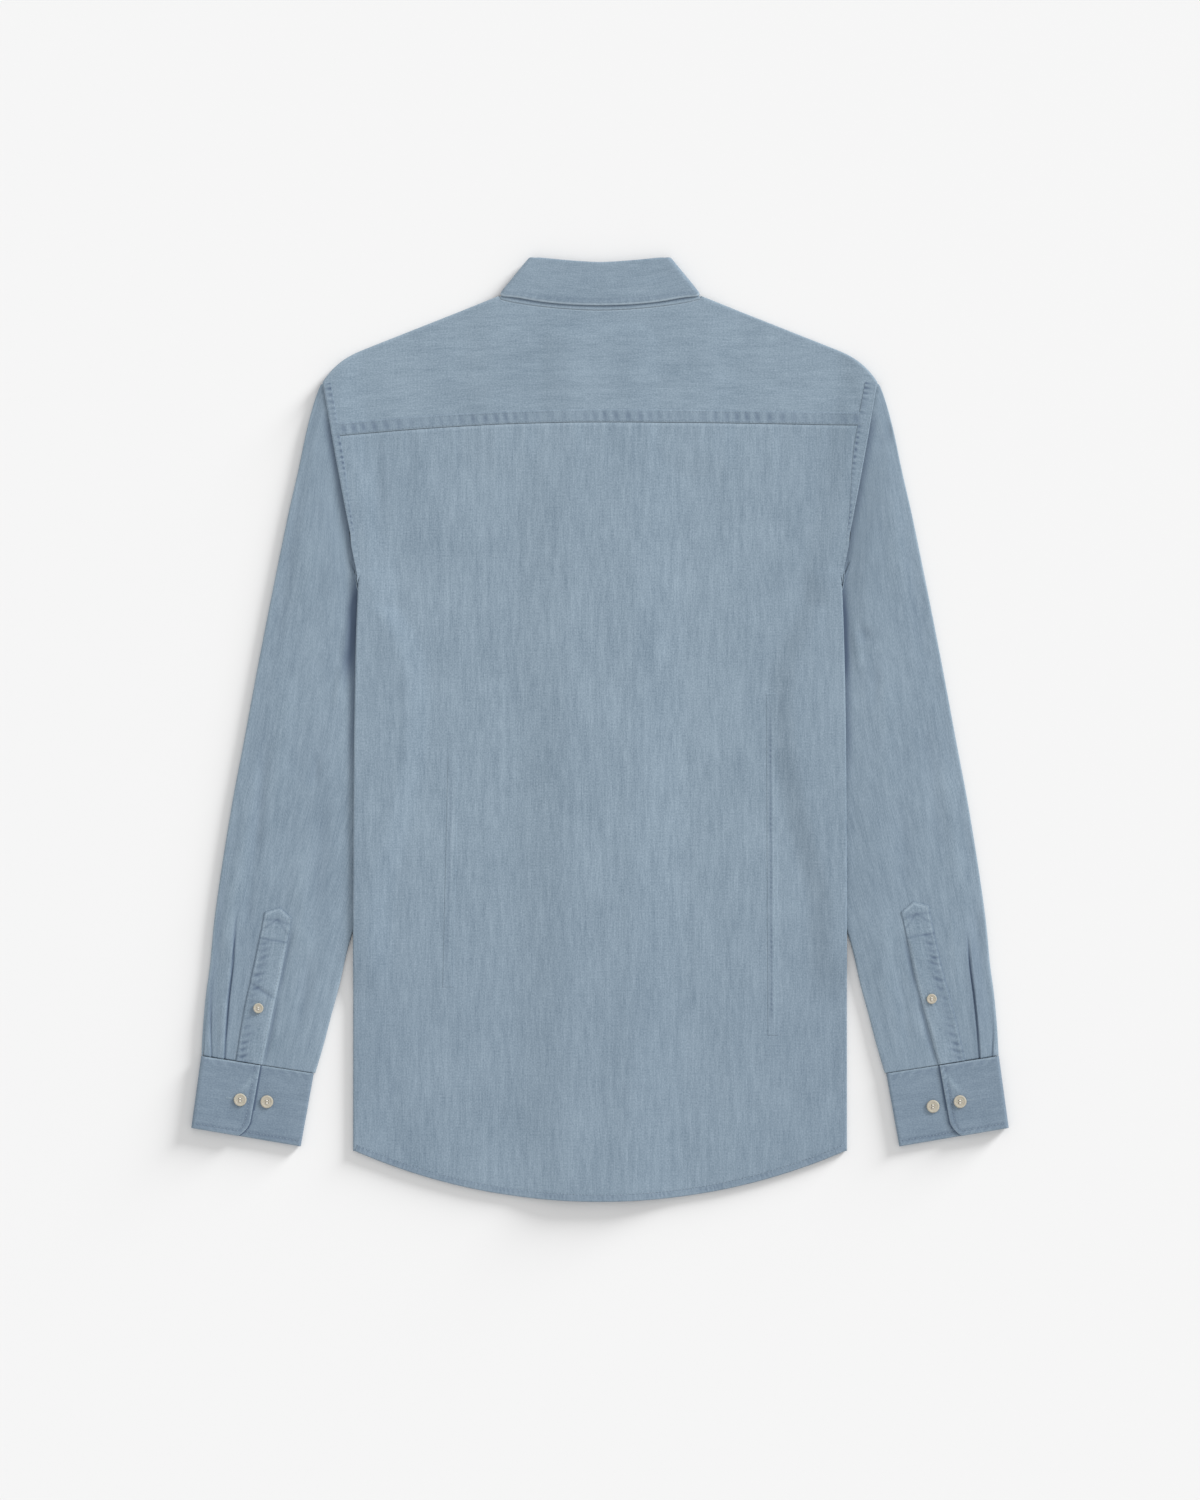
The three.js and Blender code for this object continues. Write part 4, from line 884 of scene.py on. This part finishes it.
def cuff_plan(share, depth):
    """A place in plan on the cuff's four-sided outline, by its share across and its share down."""
    top = CUFF_INNER_TOP + (CUFF_OUTER_TOP - CUFF_INNER_TOP) * share[..., None]
    low = CUFF_INNER_LOW + (CUFF_OUTER_LOW - CUFF_INNER_LOW) * share[..., None]
    return top + (low - top) * depth[..., None]


def overlap_end(depth):
    """Where the overlap ends: nearly straight, then rounded off over its last 16 mm."""
    return 0.471 + 0.012 * depth + 0.085 * np.clip((depth - 0.74) / 0.26, 0, 1) ** 2.2


def cuff_cloth(side):
    """One band: under the overlap, round the inner edge, along the table, round the outer edge
    and back over itself. Its plies stand proud inside the stitching and dip along it."""
    depth = np.linspace(0, 1, 56)[None, :]
    under_radius, over_radius = UNDER_TOP / 2, OVER_TOP / 2
    end = overlap_end(depth)

    def ply(start, stop, count, top):
        share = mix(start, stop, np.linspace(0, 1, count)[:, None]) + 0 * depth
        return share, top + 0 * share

    def fold(kind, radius, degrees):
        angle = np.radians(np.array(degrees, float))[:, None] + 0 * depth
        reach = radius * (1 - np.sin(angle)) / CUFF_WIDE
        share = reach if kind < 0 else 1 - reach
        return share, radius * (1 + np.cos(angle))

    parts = [
        ply(0.74, under_radius / CUFF_WIDE + 0.012, UNDER_COLUMNS, UNDER_TOP),
        fold(-1, under_radius, HALF_TURN),
        ply(0.06, 0.94, 20, 0.0),
        fold(1, over_radius, HALF_TURN[::-1]),
        ply(1 - over_radius / CUFF_WIDE - 0.012, end, OVER_COLUMNS, OVER_TOP),
    ]
    share, z = (np.concatenate([part[k] for part in parts]) for k in range(2))
    column = np.arange(len(share))[:, None]
    is_under, is_over = column < UNDER_COLUMNS, column >= len(share) - OVER_COLUMNS
    upper = is_under | is_over
    plan = cuff_plan(share, depth)
    from_low, from_top = (1 - depth) * CUFF_DEEP, depth * CUFF_DEEP
    from_end = np.where(is_over, (share - end) * CUFF_WIDE, 99)
    rim = np.minimum(from_low, from_end)
    run = share * CUFF_WIDE + depth * CUFF_DEEP
    ridge = pucker(run, 6.5, 2.2 + side)
    stitch = bell(rim - CUFF_STITCH_IN, 1.2)
    gathered = pucker(run, 9, 0.4) - 0.5
    puff = 0.35 * (smooth(0, 1.3, rim) - 1) - 0.18 * stitch + 0.16 * (ridge - 0.5) * bell(rim, 4)
    puff = puff + 0.12 * wander(plan[..., 0], plan[..., 1], 22, 1.1 + side)
    puff = puff + 0.2 * gathered * bell(from_top, 2.2)
    z = np.where(upper, z + puff, z)
    wear_and_painted_light = 0.6 * smooth(1.6, 0.3, rim) + 0.45 * (ridge - 0.55) * bell(rim - 3, 3) - 0.35 * stitch
    wear_and_painted_light = wear_and_painted_light + 0.55 * gathered * bell(from_top - 3, 3)
    wrinkle = along_rows(plan[..., 0], plan[..., 1], CUFF_WRINKLES)
    z = z + 0.3 * wrinkle * is_over
    # The wrinkles are painted paler on the ridge and darker in the trough, as light and shade, and a painted
    # highlight runs along the cuff's top edge
    wear_and_painted_light = wear_and_painted_light + 0.5 * wrinkle * is_over + 0.7 * bell(from_top - 0.6, 0.9)
    # The under ply beneath the overlap's edge is painted dark as shade
    covered = is_under & (share > end - 0.014)
    wear_and_painted_light = np.where(covered, -1.1, wear_and_painted_light) + 0 * share
    outer = np.stack([side * plan[..., 0], plan[..., 1], z], axis=-1)
    uv = np.stack(np.broadcast_arrays(depth * CUFF_DEEP, share * CUFF_WIDE), axis=-1)
    name, wear_and_painted_light = f"{WORD[side]}_cuff_cloth", wear_and_painted_light * upper - 0.5
    return cloth_wall(name, outer, uv, wear_and_painted_light, band_denim, thick=CUFF_WALL - 0.1, turned_over=side < 0)


for side, word in WORD.items():
    dress(cuff_cloth(side), f"cuff_{word}")

# Collar stand
# The band between the neck seam and the leaf, double and interlined, with its ends lapped and
# buttoned at the front neck.

SIDE_FALL, SIDE_NECK = [84.5, 376.1], [85.5, 374.9]
FOLD_ROLL = [58.4, 408.1]  # the roll point where the collar has turned a quarter
# Right half from the centre back: roll x, y, leaf's edge x, y, neck seam x, y, degrees turned
COLLAR_TABLE = np.array([
    [0, 405.9, 0, 368.2, 0, 365.3, 0],
    [18, 406.9, 27, 369, 27, 366.4, 0],
    [36, 408.4, 52, 371.4, 53, 368.9, 0],
    [52, 410.1, 74, 375.4, 75, 372.2, 0],
    [56.5, 409.9, *SIDE_FALL, *SIDE_NECK, 0],
    [57.6, 409.0, *SIDE_FALL, *SIDE_NECK, 45],
    [58.4, 408.1, *SIDE_FALL, *SIDE_NECK, 90],
    [58.4, 407.4, *SIDE_FALL, *SIDE_NECK, 135],
    [58.2, 406.8, *SIDE_FALL, *SIDE_NECK, 180],
    [51, 397, 83, 344, 84.5, 350.6, 180],
    [38, 374, 77, 317, 62, 318.9, 180],
    [23, 348, 66, 292, 38, 299.5, 180],
    [9, 329, 54, 269, 18, 292.1, 180],
])
STAND_TABLE = np.array([[4, 325, 0, 0, 8, 291.6, 180], [-14, 322, 0, 0, -14, 291.3, 180]])
COLLAR_MIDDLE, FALL_OUT, STAND_OUT, LEG_OUT, STAND_SHARE = 3.8, 3.8, 1.8, 0.3, 0.79


def collar_rows(table, count):
    """The collar's whole ring from the left front end to the right one: table rows joined by
    straight lines, mirrored for the left half. Returns plan points, the way out and the side."""
    last = len(table) - 1
    ring = np.linspace(-last, last, count)
    values = np.stack([np.interp(np.abs(ring), np.arange(last + 1), table[:, k]) for k in range(7)], axis=-1)
    side = np.where(ring < 0, -1, 1)[:, None]
    values[:, [0, 2, 4]] *= side
    weights = np.hanning(count // 17)
    weights = weights / weights.sum()
    reach = len(weights) // 2
    padded = np.pad(values[:, :6], ((reach, len(weights) - 1 - reach), (0, 0)), mode="edge")
    eased = np.stack([np.convolve(padded[:, k], weights, mode="valid") for k in range(6)], axis=-1)
    roll, fall, neck = eased[:, 0:2], eased[:, 2:4], eased[:, 4:6]
    turn = np.radians(values[:, 6])
    down = np.array(SIDE_FALL) - np.array(FOLD_ROLL)
    down = down / np.linalg.norm(down)
    out = np.stack([side[:, 0] * -down[1] * np.sin(turn), down[0] * np.sin(turn), np.cos(turn)], axis=-1)
    return roll, fall, neck, out, ring


def stand_cloth():
    """Its sewn edge is thin and laps 1.2 mm over the yoke, which closes the neck seam."""
    table = np.concatenate([COLLAR_TABLE, STAND_TABLE])
    roll, _, neck, out, ring = collar_rows(table, 260)
    lift = np.where(ring < 0, 0.3, 1.2) * np.clip(np.abs(ring) - 11, 0, 2)  # the ends are lapped
    rows = np.concatenate([[-0.03, -0.005, 0.02, 0.045, 0.07], np.linspace(0.11, STAND_SHARE, 12)])
    share = np.maximum(rows, 0) + np.minimum(rows, 0) * np.clip(out[:, 2:], 0.2, 1)
    plan = neck[:, None] + (roll - neck)[:, None] * share[..., None]
    outer = np.concatenate([plan, np.full(plan.shape[:2] + (1,), COLLAR_MIDDLE)], axis=-1)
    outer = outer + out[:, None] * STAND_OUT
    outer[..., 2] += lift[:, None]
    run = run_along(outer[:, 0])
    uv = np.stack(np.broadcast_arrays(share * 40, run[:, None]), axis=-1)
    # Painted shade over the stand where the leaf's edge hangs over it; pale at its thin lapped edge
    wear_and_painted_light = 0.3 * smooth(0.02, -0.02, share) - 0.9 * smooth(0.01, 0.06, share)
    thick = mix(0.2, 1.2, smooth(-0.005, 0.07, share))
    return cloth_wall("collar_stand_cloth", outer, uv, wear_and_painted_light, band_denim, thick)


dress(stand_cloth(), "collar_stand")

# Collar leaf
# A shaped double piece, sewn into the top of the stand. It rolls over it and falls outside, and is
# stitched 5 mm inside its edge, which washing has worn pale.

LEAF_CREASES = [(26, 390, 70, 398, 4, -0.35), (-50, 392, -10, 386, 6, 0.2)]


def leaf_cloth():
    """Each cross-section rises beside the stand, rolls over half a circle and falls to the edge."""
    roll, fall, neck, out, ring = collar_rows(COLLAR_TABLE, 430)
    half_roll = (FALL_OUT - LEG_OUT) / 2
    to_fall, to_neck = fall - roll, neck - roll
    fall_long = np.linalg.norm(to_fall, axis=1, keepdims=True)
    neck_long = np.linalg.norm(to_neck, axis=1, keepdims=True)
    down, leg_down = to_fall / fall_long, to_neck / neck_long
    columns = []

    def add(way, distance, height, run):
        plan = roll + way * distance
        middle = np.concatenate([plan, np.full((len(plan), 1), COLLAR_MIDDLE)], axis=1)
        columns.append((middle + out * height, run))

    for share in (1, 0.6, 0.2):
        add(leg_down, mix(half_roll, neck_long * (1 - STAND_SHARE) - 0.3, share), LEG_OUT, -8 * share)
    for degrees in (-90, -68, -45, -22, 0, 22, 45, 68, 90):
        angle = np.radians(degrees)
        add(down, half_roll - half_roll * np.cos(angle), LEG_OUT + half_roll * (1 + np.sin(angle)), 0)
    for share in np.linspace(0, 1, 36)[1:]:
        add(down, mix(half_roll, fall_long, share), FALL_OUT, fall_long * share)
    outer = np.stack([column[0] for column in columns], axis=1)
    flat = np.stack([np.broadcast_to(column[1], (len(ring), 1))[:, 0] for column in columns], axis=1)
    along = run_along(outer[:, -1])[:, None]
    rim = np.where(flat > 0, fall_long - flat, 99)
    rim = np.minimum(rim, (12 - np.abs(ring))[:, None] * 12 + 99 * (flat <= 0))
    ridge = pucker(along, 7.5, 3.3)
    stitch = bell(rim - 5, 1.1)
    falling = (flat > 0) * smooth(0, 4, flat)
    puff = falling * (-0.8 * smooth(3, 0, rim) - 0.12 * stitch + 0.14 * (ridge - 0.5) * bell(rim - 2.5, 2.6))
    puff = puff + falling * 0.14 * wander(outer[..., 0], outer[..., 1], 26, 2.7)
    crease = along_rows(outer[..., 0], outer[..., 1], LEAF_CREASES)
    puff = puff + falling * crease * (out[:, 2] > 0.5)[:, None]
    outer = outer + out[:, None] * puff[..., None]
    wear_and_painted_light = 1.1 * smooth(2.2, 0.6, rim) + 0.4 * (ridge - 0.5) * bell(rim - 3, 2.6) - 0.3 * stitch
    wear_and_painted_light = falling * wear_and_painted_light - 0.1
    uv = np.stack([flat, along + 0 * flat], axis=-1)
    thick = mix(0.6, 1.4, smooth(0, 3.5, rim))
    return cloth_wall("collar_leaf_cloth", outer, uv, wear_and_painted_light, band_denim, thick, turned_over=True)


dress(leaf_cloth(), "collar_leaf")

# Stitching
# Every seam and edge is topstitched with a thread a little paler than the cloth, eight or nine
# stitches to the inch, each pulled into the cloth at its ends.


def two_tone(name, low, high, fineness, detail, roughness):
    """Two colours mixed by fine noise on the piece's own place."""
    material, nodes, links, shader = new_material(name, roughness)
    place = nodes.new("ShaderNodeTexCoord")
    noise = nodes.new("ShaderNodeTexNoise")
    noise.inputs["Scale"].default_value = fineness
    noise.inputs["Detail"].default_value = detail
    links.new(place.outputs["Object"], noise.inputs["Vector"])
    links.new(blended(nodes, links, low, high, noise.outputs["Fac"]), shader.inputs["Base Color"])
    return material


thread = two_tone("thread", (0.20, 0.275, 0.345), (0.34, 0.42, 0.49), 240, 2, 0.7)
STITCH_PITCH, STITCH_LONG = 2.9, 2.2
# Ends 0 and 1, sides 2 and 3, top 4 and bottom 5
SPINDLE = np.array([[0, 2, 4], [2, 1, 4], [1, 3, 4], [3, 0, 4], [2, 0, 5], [1, 2, 5], [3, 1, 5], [0, 3, 5]])


def joined(parts):
    """The points and faces of several parts as one, each part's faces numbered on from the last."""
    starts = np.cumsum([0] + [len(points) for points, _ in parts])
    faces = [part[1] + start for part, start in zip(parts, starts)]
    return np.concatenate([points for points, _ in parts]) * MM, np.concatenate(faces)


def stitched(name, lines, wide=0.3, high=0.22):
    """Stitches along lines of points: at equal steps of the run, a low spindle of six points,
    its two ends in the cloth and its middle proud."""
    parts = []
    for line in lines:
        run = run_along(line)
        start = np.arange(0.4, run[-1] - STITCH_LONG, STITCH_PITCH)
        ends = np.array([start, start + STITCH_LONG])
        head, tail = np.stack([np.interp(ends, run, line[:, k]) for k in range(3)], axis=-1)
        way = (tail - head) / np.linalg.norm(tail - head, axis=1, keepdims=True)
        side = np.cross(way, [0, 0, 1.0]) * wide
        middle = (head + tail) / 2 + np.array([0, 0, high])
        top, bottom = middle + [0, 0, 0.08], middle - [0, 0, 0.3]
        spindle = np.stack([head, tail, middle + side, middle - side, top, bottom], axis=1)
        faces = SPINDLE + 6 * np.arange(len(start))[:, None, None]
        parts.append((spindle.reshape(-1, 3), faces.reshape(-1, 3)))
    carry(mesh_piece(name, *joined(parts), thread))


def on_back(x, y, lift=0.1):
    return np.stack([x, y, back_face(x, y) + lift], axis=-1)


hem_run = np.linspace(-212, 212, 900)
seam_run = np.linspace(-230, 230, 900)
arm_run = np.linspace(184, 299, 300)
stitched("hem_stitches", [on_back(hem_run, hem_y(hem_run) + 6.2, 0.42)])
stitched("yoke_stitches", [
    on_back(seam_run, yoke_seam_y(seam_run) + 1.6, 0.6),
    on_back(seam_run, yoke_seam_y(seam_run) + 9.4, 0.35),
], wide=0.2, high=0.12)
stitched("armhole_stitches", [
    on_back(side * (edge_x(arm_run) - 1.4), arm_run, 0.45) for side in WORD
], wide=0.2, high=0.12)


def cuff_line(side, share, depth, top):
    plan = cuff_plan(share, depth)
    return np.stack([side * plan[:, 0], plan[:, 1], np.broadcast_to(top, share.shape)], axis=-1)


cuff_lines, placket_lines = [], []
down = np.linspace(0, 1 - CUFF_STITCH_IN / CUFF_DEEP, 120)
low = np.full(120, down[-1])
low_end = overlap_end(down[-1])
over_share = np.linspace(low_end + CUFF_STITCH_IN / CUFF_WIDE, 0.965, 120)
under_share = np.linspace(0.03, low_end - 0.012, 120)
for side in WORD:
    cuff_lines += [
        cuff_line(side, overlap_end(down) + CUFF_STITCH_IN / CUFF_WIDE, down, OVER_TOP - 0.12),
        cuff_line(side, over_share, low, OVER_TOP - 0.12),
        cuff_line(side, under_share, low, UNDER_TOP - 0.12),
    ]
    at = np.linspace(PLACKET_TIP[side][0] - 0.02, 14.97, 200)
    for across in (0.08, 0.92):
        x, y, z, _ = sleeve_face(at, np.zeros_like(at), placket_share(side, at, across), SLEEVE_LOOKS[side])
        placket_lines.append(np.stack([side * x, y, z + 1.5], axis=-1))
stitched("cuff_stitches", cuff_lines)
stitched("sleeve_placket_stitches", placket_lines, wide=0.22, high=0.15)

# Buttons
# Four-hole buttons of cream resin with a turned rim and a dished middle, sewn on with pale thread:
# 18 line on the cuffs and the front, 14 line on the sleeve plackets.

button_resin = two_tone("button_resin", (0.41, 0.365, 0.285), (0.56, 0.51, 0.42), 420, 3, 0.5)
button_resin.node_tree.nodes["Principled BSDF"].inputs["Subsurface Weight"].default_value = 0.05
button_thread = two_tone("button_thread", (0.70, 0.66, 0.58), (0.84, 0.81, 0.75), 240, 2, 0.7)
BUTTON_THICK, DISH_SHARE, HOLE_OUT = 2.1, 0.605, 0.33


def button_rim(radius, sides=48):
    """The rim's closed profile of radius and height, carried round the z axis."""
    profile = np.array([
        [0.60, 0.74], [0.66, 0.78], [0.74, 0.86], [0.82, 0.89], [0.90, 0.86], [0.96, 0.76], [1.0, 0.56],
        [0.98, 0.36], [0.90, 0.12], [0.80, 0.0], [0.60, 0.0],
    ])
    angle = np.linspace(0, 2 * np.pi, sides, endpoint=False)[:, None]
    out, height = (profile * [radius, BUTTON_THICK]).T
    return np.stack(np.broadcast_arrays(out * np.cos(angle), out * np.sin(angle), height), axis=-1)


def pierced_dish(radius, top, count=28):
    """A square grid squeezed into a disc that dips at its middle, and which of its cells are cloth:
    all but those of four holes round the centre."""
    line = np.linspace(-1, 1, count + 1)
    u, v = np.meshgrid(line, line, indexing="ij")
    x = u * np.sqrt(1 - v * v / 2) * radius
    y = v * np.sqrt(1 - u * u / 2) * radius
    middle = np.abs(line[:-1] + line[1:]) / 2
    hole = np.hypot(middle[:, None] - HOLE_OUT, middle - HOLE_OUT) < 0.16
    dish = top - 0.18 * (1 - np.hypot(x, y) ** 2 / radius**2)
    return np.stack([x, y, dish], axis=-1), ~hole


def make_button(name, radius, x, y, z, node):
    """One button: turned rim, pierced dish and the thread through its holes, moved to its place."""
    place = np.array([x, y, z + 0.05])
    rim = button_rim(radius)
    index = np.pad(np.arange(rim[..., 0].size).reshape(rim.shape[:2]), ((0, 1), (0, 1)), mode="wrap")
    quads = grid_cells(index).reshape(-1, 4)[:, ::-1]
    body = mesh_piece(name, (rim.reshape(-1, 3) + place) * MM, quads, button_resin)
    depth = BUTTON_THICK * 0.75
    dish, kept = pierced_dish(radius * DISH_SHARE, depth)
    plate = cloth_wall(
        name + "_dish", dish + place, dish[..., :2], np.zeros(1), button_resin, depth * 0.95, cloth=kept,
    )
    spread = HOLE_OUT * radius * DISH_SHARE
    share = np.linspace(0, 1, 13)
    arch = BUTTON_THICK * 0.72 + 0.6 * np.sin(np.pi * share) ** 0.6
    lanes = [sign * spread + lane for sign in (-1, 1) for lane in (-0.18, 0.18)]
    bars = [np.stack([mix(-spread, spread, share), np.full(13, lane), arch], axis=-1) for lane in lanes]
    sewn = mesh_piece(name + "_thread", *joined([tube(bar + place, 0.3) for bar in bars]), button_thread)
    for piece in (body, plate, sewn):
        carry(piece)
    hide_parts(node)


def tube(centre, radius, sides=8):
    """A round thread along points: a circle square to the run at each point, ends drawn shut."""
    run = np.gradient(centre, axis=0)
    run /= np.linalg.norm(run, axis=1, keepdims=True)
    side = np.cross(run, [0.03, 0.02, 1.0])
    side /= np.linalg.norm(side, axis=1, keepdims=True)
    up = np.cross(side, run)
    angle = np.linspace(0, 2 * np.pi, sides, endpoint=False)
    taper = np.concatenate([[0.15], np.ones(len(centre) - 2), [0.15]])[:, None, None] * radius
    ring = side[:, None] * np.cos(angle)[None, :, None] + up[:, None] * np.sin(angle)[None, :, None]
    points = centre[:, None] + taper * ring
    index = np.arange(len(centre) * sides).reshape(len(centre), sides)
    return points.reshape(-1, 3), grid_cells(np.pad(index, ((0, 0), (0, 1)), mode="wrap")).reshape(-1, 4)


CUFF_BUTTON, PLACKET_BUTTON = 5.6, 4.4  # radii
ON_OVERLAP, ON_UNDERLAP = 6.6, 4.5  # heights that buttons are sewn at
CUFF_BUTTON_PLACES = {
    "left": [(-312.4, -321.5), (-289.4, -323.4)],
    "right": [(312.6, -323.1), (289.3, -327.4)],
}
PLACKET_BUTTON_PLACES = {"left": (-296.6, -242.0), "right": (288.0, -233.9)}
FRONT_BUTTON_TOP, FRONT_BUTTON_STEP, STAND_BUTTON_Y = 228, 90, 304
for word in WORD.values():
    for letter, (x, y), z in zip("ab", CUFF_BUTTON_PLACES[word], (ON_OVERLAP, ON_UNDERLAP)):
        make_button(f"{word}_cuff_button_{letter}", CUFF_BUTTON, x, y, z, f"cuff_button_{word}_{letter}")
    x, y = PLACKET_BUTTON_PLACES[word]
    make_button(f"{word}_placket_button", PLACKET_BUTTON, x, y, ON_OVERLAP, f"placket_button_{word}")
for number in range(7):
    y = FRONT_BUTTON_TOP - FRONT_BUTTON_STEP * number
    make_button(f"front_resin_button_{number + 1}", CUFF_BUTTON, 0, y, 0, f"front_button_{number + 1}")
make_button("stand_resin_button", CUFF_BUTTON, 0, STAND_BUTTON_Y, 0, "stand_button")

# Buttonholes
# A slit bound with close thread: lying across the cuff's overlap, standing on the sleeve placket.


def buttonhole(name, x, y, z, way, long):
    """Two bound lips side by side along the slit, with a bar across each end."""
    way = np.array([*way, 0.0]) / np.hypot(*way)
    side = np.array([-way[1], way[0], 0.0])
    centre = np.array([x, y, z])
    share = np.linspace(-0.5, 0.5, 40)[:, None]
    ripple = 0.06 * np.sin(share * 2 * np.pi * 18)
    lips = [centre + way * long * share + side * sign * (0.42 + ripple) for sign in (-1, 1)]
    bars = [centre + way * long * sign * 0.5 + side * np.linspace(-0.9, 0.9, 8)[:, None] for sign in (-1, 1)]
    parts = [tube(line, 0.36) for line in lips + bars]
    carry(mesh_piece(name, *joined(parts), thread))


cuff_way = (CUFF_OUTER_TOP - CUFF_INNER_TOP) / CUFF_WIDE
for side, word in WORD.items():
    (x, y), (placket_x, placket_y) = CUFF_BUTTON_PLACES[word][0], PLACKET_BUTTON_PLACES[word]
    buttonhole(f"{word}_cuff_buttonhole", x + side * 4.6, y + 0.7, 6.2, (side * cuff_way[0], cuff_way[1]), 15)
    buttonhole(f"{word}_placket_buttonhole", placket_x, placket_y, 6.1, (side * -0.24, 1), 13)

# Stage: pale floor, soft light, camera straight above
# The shirt lies on a pale ground and is seen from straight above through a long lens. The light is
# broad and soft, a little stronger from the upper right, so that shadows fall to the lower left.

floor_mesh = bpy.data.meshes.new("floor")
floor_mesh.from_pydata([(-6, -6, 0), (6, -6, 0), (6, 6, 0), (-6, 6, 0)], [], [(0, 1, 2, 3)])
floor = bpy.data.objects.new("floor", floor_mesh)
floor.location.z = -0.0002
bpy.context.scene.collection.objects.link(floor)
floor_paint, _, _, floor_shader = new_material("floor_paint", 0.9)
floor_shader.inputs["Base Color"].default_value = (0.775, 0.775, 0.775, 1)
floor_mesh.materials.append(floor_paint)

world = bpy.data.worlds.new("studio")
world.use_nodes = True
world.node_tree.nodes["Background"].inputs["Color"].default_value = (1, 1, 1, 1)
world.node_tree.nodes["Background"].inputs["Strength"].default_value = 0.79
bpy.context.scene.world = world
bpy.context.scene.view_settings.view_transform = "Standard"


def sun(name, energy, degrees, way):
    """A sun of the given angular size whose light travels along the given way."""
    light = bpy.data.lights.new(name, "SUN")
    light.energy = energy
    light.angle = np.radians(degrees)
    lamp = bpy.data.objects.new(name, light)
    lamp.rotation_euler = Vector(way).to_track_quat("-Z", "Y").to_euler()
    bpy.context.scene.collection.objects.link(lamp)
    return lamp


# The photo's drop shadow is longer than its folds' shading allows, so the ground has its own sun
lit = {word: bpy.data.collections.new(f"lit_{word}") for word in ("cloth", "ground")}
lit["ground"].objects.link(floor)
for piece in bpy.context.scene.objects:
    if piece is not floor and piece.type == "MESH":
        lit["cloth"].objects.link(piece)
sun("key", 2.05, 24, (-1, -0.85, -0.62)).light_linking.receiver_collection = lit["cloth"]
sun("ground_key", 7.6, 18, (-1, -0.9, -0.22)).light_linking.receiver_collection = lit["ground"]

PHOTO_HIGH, MM_PER_PIXEL, CENTRE_ROW, MIDDLE_ROW = 1500, 0.87, 729.5, 750
lens = bpy.data.cameras.new("camera")
lens.lens = 100
lens.sensor_width = 36
lens.sensor_fit = "AUTO"
view_high = PHOTO_HIGH * MM_PER_PIXEL * MM
camera = bpy.data.objects.new("camera", lens)
off_middle = (CENTRE_ROW - MIDDLE_ROW) * MM_PER_PIXEL * MM
camera.location = (0, off_middle, view_high * lens.lens / lens.sensor_width)
bpy.context.scene.collection.objects.link(camera)
bpy.context.scene.camera = camera
